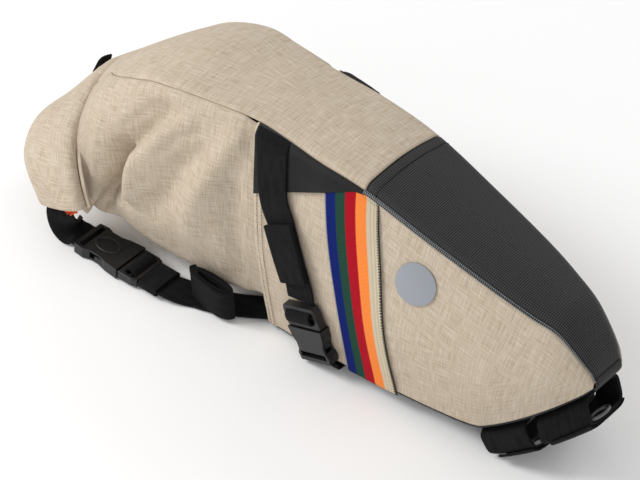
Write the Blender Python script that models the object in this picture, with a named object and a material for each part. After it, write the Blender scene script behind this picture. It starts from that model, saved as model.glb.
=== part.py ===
"""Bicycle seat pack with a rolled mouth, lying on the side that goes under the saddle.

The pack is modelled in its own frame, in metres: +X to the nose, -Y to the near side, +Z up from the
flat saddle panel, with x = 0 where that panel meets the slanted seatpost face. At the end the whole
pack is set down as it lies by itself, on the lowest seatpost strap and the saddle panel's rear edge.
"""

import math

import bpy
import bmesh
from mathutils import Matrix, Vector

# Body sizes
BASE_LENGTH = 0.182
SLEEVE_LENGTH = 0.201
NOSE_REACH = 0.075
NOSE_RISE = 0.062
BODY_HEIGHT = 0.174
BASE_WIDTH = 0.108
TOP_WIDTH = 0.091
SIDE_BULGE = 0.013
TOP_CROWN = 0.004
SLEEVE_LIFT = 0.020
SLEEVE_WIDTH = 0.116
FOLD_DEPTH = 0.007
FOLD_WIDTH = 0.015

# Cloth, seams and lapped edges
CLOTH = 0.0016
CLEARANCE = 0.0003
SEAM_RADIUS = 0.009
EDGE_RADIUS = 0.005
TUCK_SPACE = 0.0010
TUCK_TRIM = 0.0050
SEAM_SHARE = 0.006

# Rolled mouth
ROLL_LENGTH = 0.264
ROLL_DEPTH = 0.066
ROLL_THICKNESS = 0.027
ROLL_CREST = 0.120
MOUTH_SKEW = 0.056
TILT_MIDDLE = math.radians(62)
TILT_END = math.radians(3)
ROLL_BEND = math.radians(98)
ROLL_TURNS = 1.62
ROLL_OFFSET = 0.006
ROLL_SPACE = 0.0015
ROLL_TAPER = 0.22
END_SLANT = 0.085
ROLLED_CLOTH = 0.0030
LAYER_SPACE = 0.0008
MOUTH_SPACE = 0.0022
LINING_RISE = 0.0018

# Webbing, patches and buckles
WEBBING_WIDTH = 0.025
WEBBING = 0.0016
PATCH = 0.0008
PATCH_SPACE = 0.0010
DOT_RADIUS = 0.0152
BUCKLE_WIDTH = 0.034
BUCKLE_LENGTH = 0.044
SIDE_BUCKLE_LENGTH = 0.029
BUCKLE_THICKNESS = 0.0095
BUCKLE_WALL = 0.0020
BUCKLE_BAR = 0.0035
LADDER_LENGTH = 0.018
PRONG_WIDTH = 0.0045
BINDING_WIDTH = 0.009
BINDING = 0.0012

# Seatpost straps
GRIP_WIDTH = 0.038
GRIP_THICKNESS = 0.0030
GRIP_DEPTH = 0.024
GRIP_SPACING = 0.050
GRIP_START = 0.0015
GRIP_GAP = 0.0005
GRIP_SIDES = 20
RING_BAR = 0.0032
RING_WIDTH = 0.016
RING_DEPTH = 0.007
RING_ASIDE = 0.018

# Rear straps, where they lie beside the sleeve
REAR_BUCKLE_AHEAD = 0.041
REAR_BUCKLE_ASIDE = 0.083
REAR_BUCKLE_TURN = 0.06
FLOOR_SPACE = 0.0006
STRAP_GAP = 0.0009
STRAP_RISE = 0.0018
KEEPER_LENGTH = 0.017
KEEPER_THICKNESS = 0.0012
COIL_LENGTH = 0.042
COIL_DEPTH = 0.015
COIL_TURNS = 2.2
COIL_AHEAD = 0.018
COIL_ASIDE = 0.010
LOOP_WIDTH = 0.018
LOOP_LENGTH = 0.012
LOOP_DEPTH = 0.016
LOOP_RISE = 0.0012

# Sections of the body, from the nose back to the wing. Stations run from 1 at the nose to 0 at the
# seatpost corner and -1 at the wing. The other columns are shares of the named sizes: heights of
# BODY_HEIGHT and NOSE_RISE, half widths of TOP_WIDTH and BASE_WIDTH, bulge of SIDE_BULGE and crown of
# TOP_CROWN.
# (station_top, height_top, half_top, station_bottom, height_bottom, half_bottom, bulge, crown)
BODY_SECTIONS = (
    (1.005, 0.392, 0.375, 0.995, 0.980, 0.305, 0.00, 0.3),
    (0.920, 0.470, 0.400, 0.880, 0.820, 0.440, 0.25, 0.5),
    (0.667, 0.594, 0.480, 0.560, 0.480, 0.665, 0.60, 0.8),
    (0.400, 0.647, 0.590, 0.160, 0.120, 0.800, 0.85, 1.0),
    (0.000, 0.712, 0.705, -0.040, 0.000, 0.850, 1.00, 1.0),
    (-0.275, 0.812, 0.820, -0.330, 0.000, 0.960, 1.00, 1.0),
    (-0.566, 0.915, 0.910, -0.605, 0.000, 1.000, 0.85, 1.0),
    (-0.824, 0.959, 0.977, -0.802, 0.000, 1.010, 0.70, 1.0),
    (-1.082, 0.982, 1.023, -1.000, 0.000, 0.985, 0.62, 1.0),
)

# Sections of the sleeve, from under the wing back to the rolled mouth at station -2. Half widths at
# the bottom are shares of SLEEVE_WIDTH, and bottom heights of SLEEVE_LIFT. The last column says how
# far the section has closed into the flat arch of the mouth.
# (station_top, height_top, half_top, station_bottom, height_bottom, half_bottom, bulge, crown, closing)
SLEEVE_SECTIONS = (
    (-0.824, 0.959, 0.977, -0.860, 0.80, 0.86, 0.60, 1.0, 0.00),
    (-1.082, 0.982, 1.023, -1.070, 0.90, 0.87, 0.62, 1.0, 0.00),
    (-1.264, 0.993, 1.110, -1.249, 0.98, 0.97, 1.10, 1.2, 0.00),
    (-1.438, 0.997, 1.190, -1.428, 1.20, 1.05, 1.20, 1.5, 0.00),
    (-1.612, 0.955, 1.130, -1.572, 1.55, 1.14, 1.20, 1.6, 0.08),
    (-1.761, 0.880, 1.050, -1.677, 1.90, 1.24, 1.00, 1.6, 0.35),
    (-1.896, 0.800, 0.950, -1.761, 2.25, 1.35, 0.60, 1.0, 0.75),
    (-2.000, 0.740, 0.900, -1.850, 2.40, 1.40, 0.30, 0.5, 1.00),
)

# Dents and ridges of the sleeve, each along a line between two places (place along the sleeve, way
# around it). Depth is a share of FOLD_DEPTH, below zero for a ridge, and width of FOLD_WIDTH.
# (place_start, around_start, place_end, around_end, depth, width)
SLEEVE_FOLDS = (
    (2.96, 1.90, 4.40, 1.63, 1.00, 1.0),
    (4.28, 1.58, 4.96, 1.10, 1.10, 1.1),
    (2.40, 1.70, 1.90, 1.20, 0.60, 1.3),
    (3.26, 1.53, 3.60, 1.25, -0.55, 1.5),
    (4.90, 1.85, 5.60, 1.60, -0.35, 1.2),
)

# Places on the side panels, as (place along the body, way around from 1 at the bottom to 2 at the top)
RIBBON_REAR_EDGE = ((6.59, 1.866), (6.09, 1.445), (5.89, 1.010))
RIBBON_FRONT_EDGE = ((5.79, 1.953), (5.38, 1.597), (5.03, 1.010))
TRIANGLE_LOWER_EDGE = ((5.98, 1.970), (6.59, 1.874), (7.30, 1.782), (7.92, 1.700))
SIDE_STRAP_LINE = ((7.72, 1.965), (7.55, 1.748), (7.32, 1.617), (6.97, 1.400))
DOT_PLACE = (4.98, 1.748)
SIDE_BUCKLE_LINE = ((6.86, 1.270), (6.45, 1.000))

# Colours, as linear red, green and blue, with roughness
TAN = ((0.53, 0.44, 0.33), 0.85)
TEXTURED_BLACK = ((0.030, 0.030, 0.031), 0.60)
COATED_BLACK = ((0.024, 0.024, 0.026), 0.50)
WEBBING_BLACK = ((0.018, 0.018, 0.022), 0.75)
BUCKLE_BLACK = ((0.012, 0.012, 0.013), 0.35)
RING_GREY = ((0.090, 0.085, 0.090), 0.40)
RIBBON_STRIPES = ((0.450, 0.010, 0.030), 0.70)
DOT_GREY = ((0.230, 0.240, 0.260), 0.45)
LINING_ORANGE = ((0.800, 0.120, 0.030), 0.60)


def clear_scene():
    """Remove whatever the file opened with."""
    for thing in list(bpy.data.objects):
        bpy.data.objects.remove(thing, do_unlink=True)


def make_material(name, look):
    """A plain surface of one colour and roughness."""
    colour, roughness = look
    material = bpy.data.materials.new(name)
    material.use_nodes = True
    shader = material.node_tree.nodes["Principled BSDF"]
    shader.inputs["Base Color"].default_value = (*colour, 1.0)
    shader.inputs["Roughness"].default_value = roughness
    shader.inputs["Metallic"].default_value = 0.0
    material.diffuse_color = (*colour, 1.0)
    return material


def add_object(name, mesh, material, parent):
    """Put a finished mesh into the scene under the pack's own empty."""
    mesh.materials.append(material)
    thing = bpy.data.objects.new(name, mesh)
    bpy.context.collection.objects.link(thing)
    thing.parent = parent
    return thing


def station_x(station):
    """Turn a station number into a distance along the pack."""
    if station >= 0:
        return station * NOSE_REACH
    if station >= -1:
        return station * BASE_LENGTH
    return -BASE_LENGTH + (station + 1) * SLEEVE_LENGTH


def spline(rows, place):
    """A smooth curve through a table's rows, all columns at once; place 0 is the first row."""
    last = len(rows) - 1
    index = min(int(max(place, 0.0)), last - 1)
    share = place - index
    before = rows[max(index - 1, 0)]
    here = rows[index]
    there = rows[index + 1]
    after = rows[min(index + 2, last)]
    values = []
    for a, b, c, d in zip(before, here, there, after):
        slope_here = (c - a) / 2 if index > 0 else c - b
        slope_there = (d - b) / 2 if index + 1 < last else c - b
        square = share * share
        cube = square * share
        value = (2 * cube - 3 * square + 1) * b + (cube - 2 * square + share) * slope_here
        value += (3 * square - 2 * cube) * c + (cube - square) * slope_there
        values.append(value)
    return values


def ease(share):
    """A soft step from 0 to 1."""
    share = min(max(share, 0.0), 1.0)
    return share * share * (3 - 2 * share)


def metre_rows(table, bottom_width, bottom_height):
    """Turn a table of shares into rows in metres."""
    rows = []
    for row in table:
        height_size = NOSE_RISE if row[3] > -0.1 else bottom_height
        rows.append((
            station_x(row[0]), row[1] * BODY_HEIGHT, row[2] * TOP_WIDTH / 2,
            station_x(row[3]), row[4] * height_size, row[5] * bottom_width / 2,
            row[6] * SIDE_BULGE, row[7] * TOP_CROWN, *row[8:],
        ))
    return rows


BODY_ROWS = metre_rows(BODY_SECTIONS, BASE_WIDTH, 0.0)
SLEEVE_ROWS = metre_rows(SLEEVE_SECTIONS, SLEEVE_WIDTH, SLEEVE_LIFT)
WING_PLACE = len(BODY_ROWS) - 1
FOLD_SPAN = SLEEVE_LENGTH / (len(SLEEVE_SECTIONS) - 1)
SEAM_PLACE = 6
CORNER_PLACE = 4
SLEEVE_END = len(SLEEVE_ROWS) - 1
ROLL_START = station_x(-2.0)
ROLL_STEPS = 16


def arch_point(share):
    """The front edge of the rolled mouth: share 0 is its crest, 1 and -1 the near and far ends.
    Gives the point, the way along the roll, the way outward and the way across its depth."""
    steps = 24
    size = abs(share)
    side = 1 if share >= 0 else -1
    y = 0.0
    z = ROLL_CREST
    for step in range(steps):
        heading = ROLL_BEND * (size * (step + 0.5) / steps) ** 1.5
        y -= math.cos(heading) * size * ROLL_LENGTH / 2 / steps
        z -= math.sin(heading) * size * ROLL_LENGTH / 2 / steps
    x = ROLL_START + MOUTH_SKEW * size ** 1.3
    heading = ROLL_BEND * size ** 1.5
    up = Vector((0, -math.sin(heading) * side, math.cos(heading)))
    tilt = TILT_END + (TILT_MIDDLE - TILT_END) * (1 - size) ** 1.2
    across = Vector((-math.cos(tilt), 0, 0)) - up * math.sin(tilt)
    outward = Vector((-math.sin(tilt), 0, 0)) + up * math.cos(tilt)
    return Vector((x, y * side, z)), outward, across


def corner_curve(points, bends, place):
    """Walk the near half of a section: 0 bottom centre, 1 bottom corner, 2 top corner, 3 top centre."""
    for corner in (1, 2):
        radius = bends[corner - 1]
        before = (points[corner] - points[corner - 1]).length
        after = (points[corner + 1] - points[corner]).length
        back = min(radius / max(before, 1e-6), 0.45)
        ahead = min(radius / max(after, 1e-6), 0.45)
        if corner - back < place < corner + ahead:
            share = (place - corner + back) / (back + ahead)
            start = points[corner].lerp(points[corner - 1], back)
            end = points[corner].lerp(points[corner + 1], ahead)
            first = start.lerp(points[corner], share)
            second = points[corner].lerp(end, share)
            return first.lerp(second, share)
    index = min(int(place), 2)
    return points[index].lerp(points[index + 1], place - index)


def skin_point(rows, place, around):
    """A point of the pack's outer skin. Around runs from 0 at the bottom centre to 3 at the top
    centre on the near side, and on over the far side back to 6, which is 0 again."""
    row = spline(rows, place)
    around = (around + 3) % 6 - 3
    side = 1 if around >= 0 else -1
    walk = abs(around)
    top = Vector((row[0], -row[2], row[1]))
    bottom = Vector((row[3], -row[5], row[4]))
    points = (
        Vector((row[3], 0, row[4])),
        bottom,
        top,
        Vector((row[0], 0, row[1])),
    )
    point = corner_curve(points, (EDGE_RADIUS, SEAM_RADIUS), walk)
    if 1 < walk < 2:
        point.y -= row[6] * math.sin(math.pi * (walk - 1)) ** 1.3
    if walk > 2:
        point.z += row[7] * math.sin(math.pi / 2 * (walk - 2)) ** 1.2
    closing = ease(row[8]) if len(row) > 8 else 0.0
    if closing > 0:
        share = walk / 1.5 if walk < 1.5 else (3 - walk) / 1.5
        arch, outward, across = arch_point(share * (1 - END_SLANT))
        half = CLOTH + MOUTH_SPACE / 2
        layer = half if walk > 1.5 else -half
        arch += outward * layer * math.sin(math.pi / 2 * min(1.0, (1 - share) * 8))
        point = point.lerp(arch, closing)
    point.y *= side
    return point


def skin_normal(rows, place, around):
    """The outward direction of the skin."""
    last = len(rows) - 1
    low = max(place - 0.02, 0.0)
    high = min(place + 0.02, last)
    along = skin_point(rows, high, around) - skin_point(rows, low, around)
    turn = skin_point(rows, place, around + 0.01) - skin_point(rows, place, around - 0.01)
    return turn.cross(along).normalized()


def steps_between(first, last, count):
    """Evenly spaced values, ends included."""
    return [first + (last - first) * index / count for index in range(count + 1)]


def face_outward(build):
    """Turn a closed mesh's faces outward."""
    bmesh.ops.recalc_face_normals(build, faces=build.faces)
    if build.calc_volume(signed=True) < 0:
        bmesh.ops.reverse_faces(build, faces=build.faces)


def wall_mesh(name, outer, inner, closed=False):
    """A closed wall between two grids of points with the same rows and columns."""
    mesh = bpy.data.meshes.new(name)
    build = bmesh.new()
    rows = len(outer)
    columns = len(outer[0])
    top = [[build.verts.new(point) for point in line] for line in outer]
    under = [[build.verts.new(point) for point in line] for line in inner]
    last = columns if closed else columns - 1
    for row in range(rows - 1):
        for column in range(last):
            beside = (column + 1) % columns
            build.faces.new((top[row][column], top[row][beside], top[row + 1][beside], top[row + 1][column]))
            build.faces.new((under[row][column], under[row + 1][column], under[row + 1][beside], under[row][beside]))
    for column in range(last):
        beside = (column + 1) % columns
        build.faces.new((top[0][beside], top[0][column], under[0][column], under[0][beside]))
        build.faces.new((top[-1][column], top[-1][beside], under[-1][beside], under[-1][column]))
    if not closed:
        for row in range(rows - 1):
            build.faces.new((top[row][0], top[row + 1][0], under[row + 1][0], under[row][0]))
            build.faces.new((top[row + 1][-1], top[row][-1], under[row][-1], under[row + 1][-1]))
    face_outward(build)
    build.to_mesh(mesh)
    build.free()
    mesh.shade_smooth()
    mesh.set_sharp_from_angle(angle=math.radians(50))
    return mesh


def panel(name, stations, arounds, material, parent, sink=None):
    """A cloth panel: a cell of the skin as a thin wall. Each station is a table and a place in it."""
    outer = []
    inner = []
    for rows, place in stations:
        outer_line = []
        inner_line = []
        for around in (arounds(place) if callable(arounds) else arounds):
            point = skin_point(rows, place, around)
            normal = skin_normal(rows, place, around)
            depth = sink(place, around) if sink else 0.0
            outer_line.append(point - normal * depth)
            inner_line.append(point - normal * (depth + CLOTH))
        outer.append(outer_line)
        inner.append(inner_line)
    return add_object(name, wall_mesh(name, outer, inner), material, parent)


SLEEVE_PLACES = steps_between(1.0, SLEEVE_END, 14)[1:]


def body_stations(places):
    """Stations of the sewn body."""
    return [(BODY_ROWS, place) for place in places]


def sleeve_stations(places):
    """Stations of the sleeve."""
    return [(SLEEVE_ROWS, place) for place in places]


def build_body(parent):
    """The sewn shell: saddle panel, seatpost panel, nose panel, top panel and two side panels."""
    tan = make_material("tan_cloth", TAN)
    textured = make_material("textured_black", TEXTURED_BLACK)
    coated = make_material("coated_black", COATED_BLACK)
    bottom = steps_between(-1 + SEAM_SHARE, 1 - SEAM_SHARE, 5)
    top = steps_between(2 + 2 * SEAM_SHARE, 4 - 2 * SEAM_SHARE, 8)
    side = steps_between(1 + SEAM_SHARE, 2 - SEAM_SHARE, 10)
    places = steps_between(0.0, WING_PLACE, 20)
    before_corner = [place for place in places if place < CORNER_PLACE] + [CORNER_PLACE - SEAM_SHARE]
    after_corner = [CORNER_PLACE + SEAM_SHARE] + [place for place in places if place > CORNER_PLACE]
    before_seam = [place for place in places if place < SEAM_PLACE] + [SEAM_PLACE - SEAM_SHARE]
    after_seam = [SEAM_PLACE + SEAM_SHARE] + [place for place in places if place > SEAM_PLACE]
    panel("saddle_panel", body_stations(after_corner), bottom, coated, parent)
    panel("seatpost_panel", body_stations(before_corner), bottom, textured, parent)
    panel("nose_panel", body_stations(before_seam), top, textured, parent)
    top_stations = body_stations(after_seam) + sleeve_stations(SLEEVE_PLACES)
    panel("top_panel", top_stations, top, tan, parent)
    for label, sign in (("near", 1), ("far", -1)):
        lines = [sign * value for value in side]
        panel(f"side_panel_{label}", body_stations(places), lines, tan, parent)


def roll_profile():
    """The rolled band's centre line across its depth: a flat spiral, from the front edge inward."""
    pitch = ROLLED_CLOTH + LAYER_SPACE
    count = 24
    points = []
    for step in range(count + 1):
        turned = ROLL_TURNS * step / count
        angle = math.radians(196) + 2 * math.pi * turned
        half_depth = (ROLL_DEPTH - ROLLED_CLOTH) / 2 - pitch * turned
        half_thick = (ROLL_THICKNESS - ROLLED_CLOTH) / 2 - pitch * turned
        across = -math.copysign(abs(math.cos(angle)) ** 0.75, -math.cos(angle)) * half_depth
        outward = math.copysign(abs(math.sin(angle)) ** 0.85, math.sin(angle)) * half_thick
        points.append((across + ROLL_DEPTH / 2 + ROLL_SPACE, outward))
    return points


def roll_frame(share, depth):
    """The roll's frame at a share of its length, with the ends cut on a slant."""
    slanted = share * (1 - END_SLANT * (1 - depth))
    corner, outward, across = arch_point(slanted)
    narrow = 1 - ROLL_TAPER * ease((abs(share) - 0.8) / 0.2)
    lifted = corner + outward * ROLL_OFFSET * ease(abs(share))
    return lifted, outward, across * narrow


def build_roll(parent):
    """The rolled mouth: one doubled band wound into a flat roll, bent over the end of the pack."""
    tan = make_material("tan_roll", TAN)
    line = roll_profile()
    outer = []
    inner = []
    for share in steps_between(-1.0, 1.0, ROLL_STEPS):
        outer_line = []
        inner_line = []
        for index, (depth, height) in enumerate(line):
            before = line[max(index - 1, 0)]
            after = line[min(index + 1, len(line) - 1)]
            turn = Vector((after[0] - before[0], after[1] - before[1])).normalized()
            centre = Vector((depth, height))
            side = Vector((-turn.y, turn.x)) * ROLLED_CLOTH / 2
            corner, outward, across = roll_frame(share, depth / ROLL_DEPTH)
            for store, place in ((outer_line, centre + side), (inner_line, centre - side)):
                store.append(corner + across * place.x + outward * place.y)
        outer.append(outer_line)
        inner.append(inner_line)
    return add_object("rolled_mouth", wall_mesh("rolled_mouth", outer, inner), tan, parent)


def tucked_share(place):
    """How far the sleeve lies under the side panels: 1 up to the wing, 0 well behind it."""
    return 1 - ease((place - 1.02) / 0.30)


def sleeve_sink(place, around):
    """The sleeve's depth below the outer skin: tucked in at the wing, with dents and ridges behind it."""
    depth = (CLOTH + TUCK_SPACE) * tucked_share(place)
    here = Vector((place * FOLD_SPAN, abs(around) * BODY_HEIGHT * 0.9))
    fade = (1 - tucked_share(place)) * ease((SLEEVE_END - place) / 1.2) * ease((1.98 - abs(around)) / 0.12)
    for first, first_around, second, second_around, share, wide in SLEEVE_FOLDS:
        start = Vector((first * FOLD_SPAN, first_around * BODY_HEIGHT * 0.9))
        end = Vector((second * FOLD_SPAN, second_around * BODY_HEIGHT * 0.9))
        line = end - start
        along = min(max((here - start).dot(line) / line.length_squared, 0.0), 1.0)
        away = (here - start - line * along).length / (wide * FOLD_WIDTH)
        depth += share * FOLD_DEPTH * math.exp(-away * away) * fade
    return depth


def sleeve_arounds(place):
    """Lines along the sleeve, trimmed below the top seam where it is tucked in."""
    edge = 2 - SEAM_SHARE - TUCK_TRIM / BODY_HEIGHT * tucked_share(place)
    return steps_between(-edge, edge, 36)


def build_sleeve(parent):
    """The roll-top sleeve: the sides and the bottom from under the wing to the roll."""
    tan = make_material("tan_sleeve", TAN)
    stations = sleeve_stations([0.8, 1.0] + SLEEVE_PLACES)
    panel("roll_top_sleeve", stations, sleeve_arounds, tan, parent, sink=sleeve_sink)


def hug(place, around, reach):
    """The place on the body's skin that lies a short way off another, the way given in metres."""
    along = (skin_point(BODY_ROWS, place + 0.05, around) - skin_point(BODY_ROWS, place - 0.05, around)) / 0.1
    turn = (skin_point(BODY_ROWS, place, around + 0.02) - skin_point(BODY_ROWS, place, around - 0.02)) / 0.04
    a = along.dot(along)
    b = along.dot(turn)
    c = turn.dot(turn)
    u = along.dot(reach)
    v = turn.dot(reach)
    size = a * c - b * b
    return place + (c * u - b * v) / size, around + (a * v - b * u) / size


def layer_mesh(name, grid, lift, thickness):
    """A layer that lies on the body's skin, over a grid of places."""
    outer = []
    inner = []
    for line in grid:
        points = [skin_point(BODY_ROWS, *spot) for spot in line]
        normals = [skin_normal(BODY_ROWS, *spot) for spot in line]
        outer.append([point + normal * (lift + thickness) for point, normal in zip(points, normals)])
        inner.append([point + normal * lift for point, normal in zip(points, normals)])
    return wall_mesh(name, outer, inner)


def mirrored(mesh, name):
    """The same mesh on the far side."""
    copy = mesh.copy()
    copy.name = name
    build = bmesh.new()
    build.from_mesh(copy)
    bmesh.ops.transform(build, matrix=Matrix.Scale(-1, 4, (0, 1, 0)), verts=build.verts)
    face_outward(build)
    build.to_mesh(copy)
    build.free()
    return copy


def add_pair(name, mesh, look, parent):
    """A piece of the near side and its mirror image on the far side."""
    material = make_material(name, look)
    far = mirrored(mesh, f"{name}_far")
    add_object(f"{name}_near", mesh, material, parent)
    add_object(f"{name}_far", far, material, parent)


def strip_grid(line, count, width):
    """Places along a line on the skin, with three across a metric width."""
    grid = []
    for step in range(count + 1):
        where = (len(line) - 1) * step / count
        place, around = spline(line, where)
        ahead = spline(line, min(where + 0.05, len(line) - 1))
        behind = spline(line, max(where - 0.05, 0))
        along = skin_point(BODY_ROWS, *ahead) - skin_point(BODY_ROWS, *behind)
        across = along.cross(skin_normal(BODY_ROWS, place, around)).normalized()
        grid.append([hug(place, around, across * width * share) for share in (-0.5, 0.0, 0.5)])
    return grid


def build_side_pieces(parent):
    """What is sewn flat on the side panels: coated triangle, striped ribbon and reflective dot."""
    triangle = []
    for place in steps_between(TRIANGLE_LOWER_EDGE[0][0], TRIANGLE_LOWER_EDGE[-1][0], 6):
        lower = 1.0
        for first, second in zip(TRIANGLE_LOWER_EDGE, TRIANGLE_LOWER_EDGE[1:]):
            if place <= second[0] + 1e-6:
                lower = first[1] + (second[1] - first[1]) * (place - first[0]) / (second[0] - first[0])
                break
        triangle.append([(place, around) for around in steps_between(lower, 2 - 2 * SEAM_SHARE, 2)])
    add_pair("coated_triangle", layer_mesh("coated_triangle", triangle, PATCH_SPACE, PATCH), COATED_BLACK, parent)
    ribbon = []
    for where in steps_between(0.0, 2.0, 10):
        rear = Vector(spline(RIBBON_REAR_EDGE, where))
        front = Vector(spline(RIBBON_FRONT_EDGE, where))
        ribbon.append([tuple(rear.lerp(front, share)) for share in (0, 0.333, 0.667, 1)])
    add_pair("striped_ribbon", layer_mesh("striped_ribbon", ribbon, PATCH_SPACE, PATCH), RIBBON_STRIPES, parent)
    add_pair("reflective_dot", dot_mesh(), DOT_GREY, parent)


def dot_mesh():
    """A round patch that follows the side panel."""
    sides = 24
    place, around = DOT_PLACE
    normal = skin_normal(BODY_ROWS, place, around)
    level = normal.cross(Vector((0, 0, 1))).normalized()
    rise = level.cross(normal).normalized()
    build = bmesh.new()
    rings = []
    for lift in (CLEARANCE, CLEARANCE + PATCH):
        ring = []
        for side in range(sides):
            angle = 2 * math.pi * side / sides
            reach = (level * math.cos(angle) + rise * math.sin(angle)) * DOT_RADIUS
            spot = hug(place, around, reach)
            point = skin_point(BODY_ROWS, *spot) + skin_normal(BODY_ROWS, *spot) * lift
            ring.append(build.verts.new(point))
        middle = build.verts.new(skin_point(BODY_ROWS, place, around) + normal * lift)
        rings.append((ring, middle))
    (low, low_middle), (high, high_middle) = rings
    for side in range(sides):
        beside = (side + 1) % sides
        build.faces.new((high_middle, high[side], high[beside]))
        build.faces.new((low_middle, low[beside], low[side]))
        build.faces.new((low[side], low[beside], high[beside], high[side]))
    face_outward(build)
    mesh = bpy.data.meshes.new("reflective_dot")
    build.to_mesh(mesh)
    build.free()
    return mesh


def band_mesh(name, stops, width, thickness, count):
    """Webbing swept through stops. Each stop holds a centre and the way across the width."""
    outer = []
    inner = []
    rows = [(*centre, *across) for centre, across in stops]
    for step in range(count + 1):
        where = (len(rows) - 1) * step / count
        here = spline(rows, where)
        ahead = Vector(spline(rows, min(where + 0.05, len(rows) - 1))[:3])
        behind = Vector(spline(rows, max(where - 0.05, 0))[:3])
        along = (ahead - behind).normalized()
        across = Vector(here[3:])
        across = (across - along * across.dot(along)).normalized()
        face = across.cross(along).normalized()
        centre = Vector(here[:3])
        edges = [centre + across * width * share for share in (-0.5, 0.5)]
        outer.append([edge + face * thickness / 2 for edge in edges])
        inner.append([edge - face * thickness / 2 for edge in edges])
    return wall_mesh(name, outer, inner)


def block(build, low, high):
    """A box between two corners, added to a mesh under construction."""
    size = Vector(high) - Vector(low)
    matrix = Matrix.Translation((Vector(low) + Vector(high)) / 2) @ Matrix.Diagonal((*size, 1))
    bmesh.ops.create_cube(build, size=1.0, matrix=matrix)


def outline_mesh(name, outline, thickness):
    """A flat piece of the given outline, centred on its thickness."""
    build = bmesh.new()
    base = build.faces.new([build.verts.new((x, y, -thickness / 2)) for x, y in outline])
    moved = bmesh.ops.extrude_face_region(build, geom=[base])
    lifted = [item for item in moved["geom"] if isinstance(item, bmesh.types.BMVert)]
    bmesh.ops.translate(build, vec=(0, 0, thickness), verts=lifted)
    face_outward(build)
    mesh = bpy.data.meshes.new(name)
    build.to_mesh(mesh)
    build.free()
    return mesh


def carve(name, body, cutters, joined=()):
    """A mesh with others cut out of it and joined to it."""
    thing = bpy.data.objects.new(name, body)
    bpy.context.collection.objects.link(thing)
    helpers = [thing]
    for operation, meshes in (("UNION", joined), ("DIFFERENCE", cutters)):
        for mesh in meshes:
            helper = bpy.data.objects.new("helper", mesh)
            bpy.context.collection.objects.link(helper)
            helpers.append(helper)
            change = thing.modifiers.new(operation, "BOOLEAN")
            change.operation = operation
            change.object = helper
    bpy.context.view_layer.update()
    finished = bpy.data.meshes.new_from_object(thing.evaluated_get(bpy.context.evaluated_depsgraph_get()))
    for helper in helpers:
        bpy.data.objects.remove(helper, do_unlink=True)
    finished.name = name
    return finished


def box_mesh(low, high):
    """A box as a mesh of its own."""
    build = bmesh.new()
    block(build, low, high)
    mesh = bpy.data.meshes.new("box")
    build.to_mesh(mesh)
    build.free()
    return mesh


def socket_mesh(length):
    """The socket half of a side-release buckle: strap bar at y = 0, mouth at the far end."""
    half = BUCKLE_WIDTH / 2
    waist = half * 0.80
    outline = (
        (-half * 0.88, 0.0), (half * 0.88, 0.0), (half * 0.93, length * 0.20), (waist, length * 0.34),
        (waist, length * 0.52), (half * 0.92, length * 0.70), (half, length),
        (-half, length), (-half * 0.92, length * 0.70), (-waist, length * 0.52),
        (-waist, length * 0.34), (-half * 0.93, length * 0.20),
    )
    body = outline_mesh("socket", outline, BUCKLE_THICKNESS)
    slot_half = WEBBING_WIDTH / 2 + CLEARANCE
    thick = BUCKLE_THICKNESS
    slot = box_mesh((-slot_half, BUCKLE_BAR, -thick), (slot_half, BUCKLE_BAR * 2.3, thick))
    inside = thick / 2 - BUCKLE_WALL
    cavity = box_mesh((-half + BUCKLE_WALL, length * 0.42, -inside), (half - BUCKLE_WALL, length * 1.2, inside))
    release = box_mesh((-half * 1.2, length * 0.33, -inside), (half * 1.2, length * 0.53, inside))
    return carve("socket", body, (slot, cavity, release))


def plug_mesh(length):
    """The plug half of the buckle: a ladder that holds the strap, and two prongs in the socket."""
    half = BUCKLE_WIDTH / 2
    thick = BUCKLE_THICKNESS * 0.72
    start = length + CLEARANCE * 2
    end = start + LADDER_LENGTH
    outline = (
        (-half * 0.96, start), (half * 0.96, start), (half * 0.96, end - 0.004), (half * 0.86, end),
        (-half * 0.86, end), (-half * 0.96, end - 0.004),
    )
    body = outline_mesh("plug", outline, thick)
    slot_half = WEBBING_WIDTH / 2 + CLEARANCE
    first = start + LADDER_LENGTH * 0.30
    second = start + LADDER_LENGTH * 0.62
    slots = [
        box_mesh((-slot_half, place, -thick), (slot_half, place + LADDER_LENGTH * 0.20, thick))
        for place in (first, second)
    ]
    inside = BUCKLE_THICKNESS / 2 - BUCKLE_WALL - CLEARANCE
    reach = half - BUCKLE_WALL - CLEARANCE
    tip = length * 0.46
    prongs = [
        box_mesh((side * reach - PRONG_WIDTH * (side + 1) / 2, tip, -inside),
                 (side * reach - PRONG_WIDTH * (side - 1) / 2, start + BUCKLE_BAR / 2, inside))
        for side in (-1, 1)
    ]
    return carve("plug", body, slots, prongs)


def place_mesh(mesh, name, origin, along, face):
    """A copy of a mesh with its y axis along one way and its z axis out of the face."""
    along = Vector(along).normalized()
    face = Vector(face)
    face = (face - along * face.dot(along)).normalized()
    across = along.cross(face)
    matrix = Matrix((across, along, face)).transposed().to_4x4()
    matrix.translation = Vector(origin)
    copy = mesh.copy()
    copy.name = name
    copy.transform(matrix)
    return copy


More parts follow.
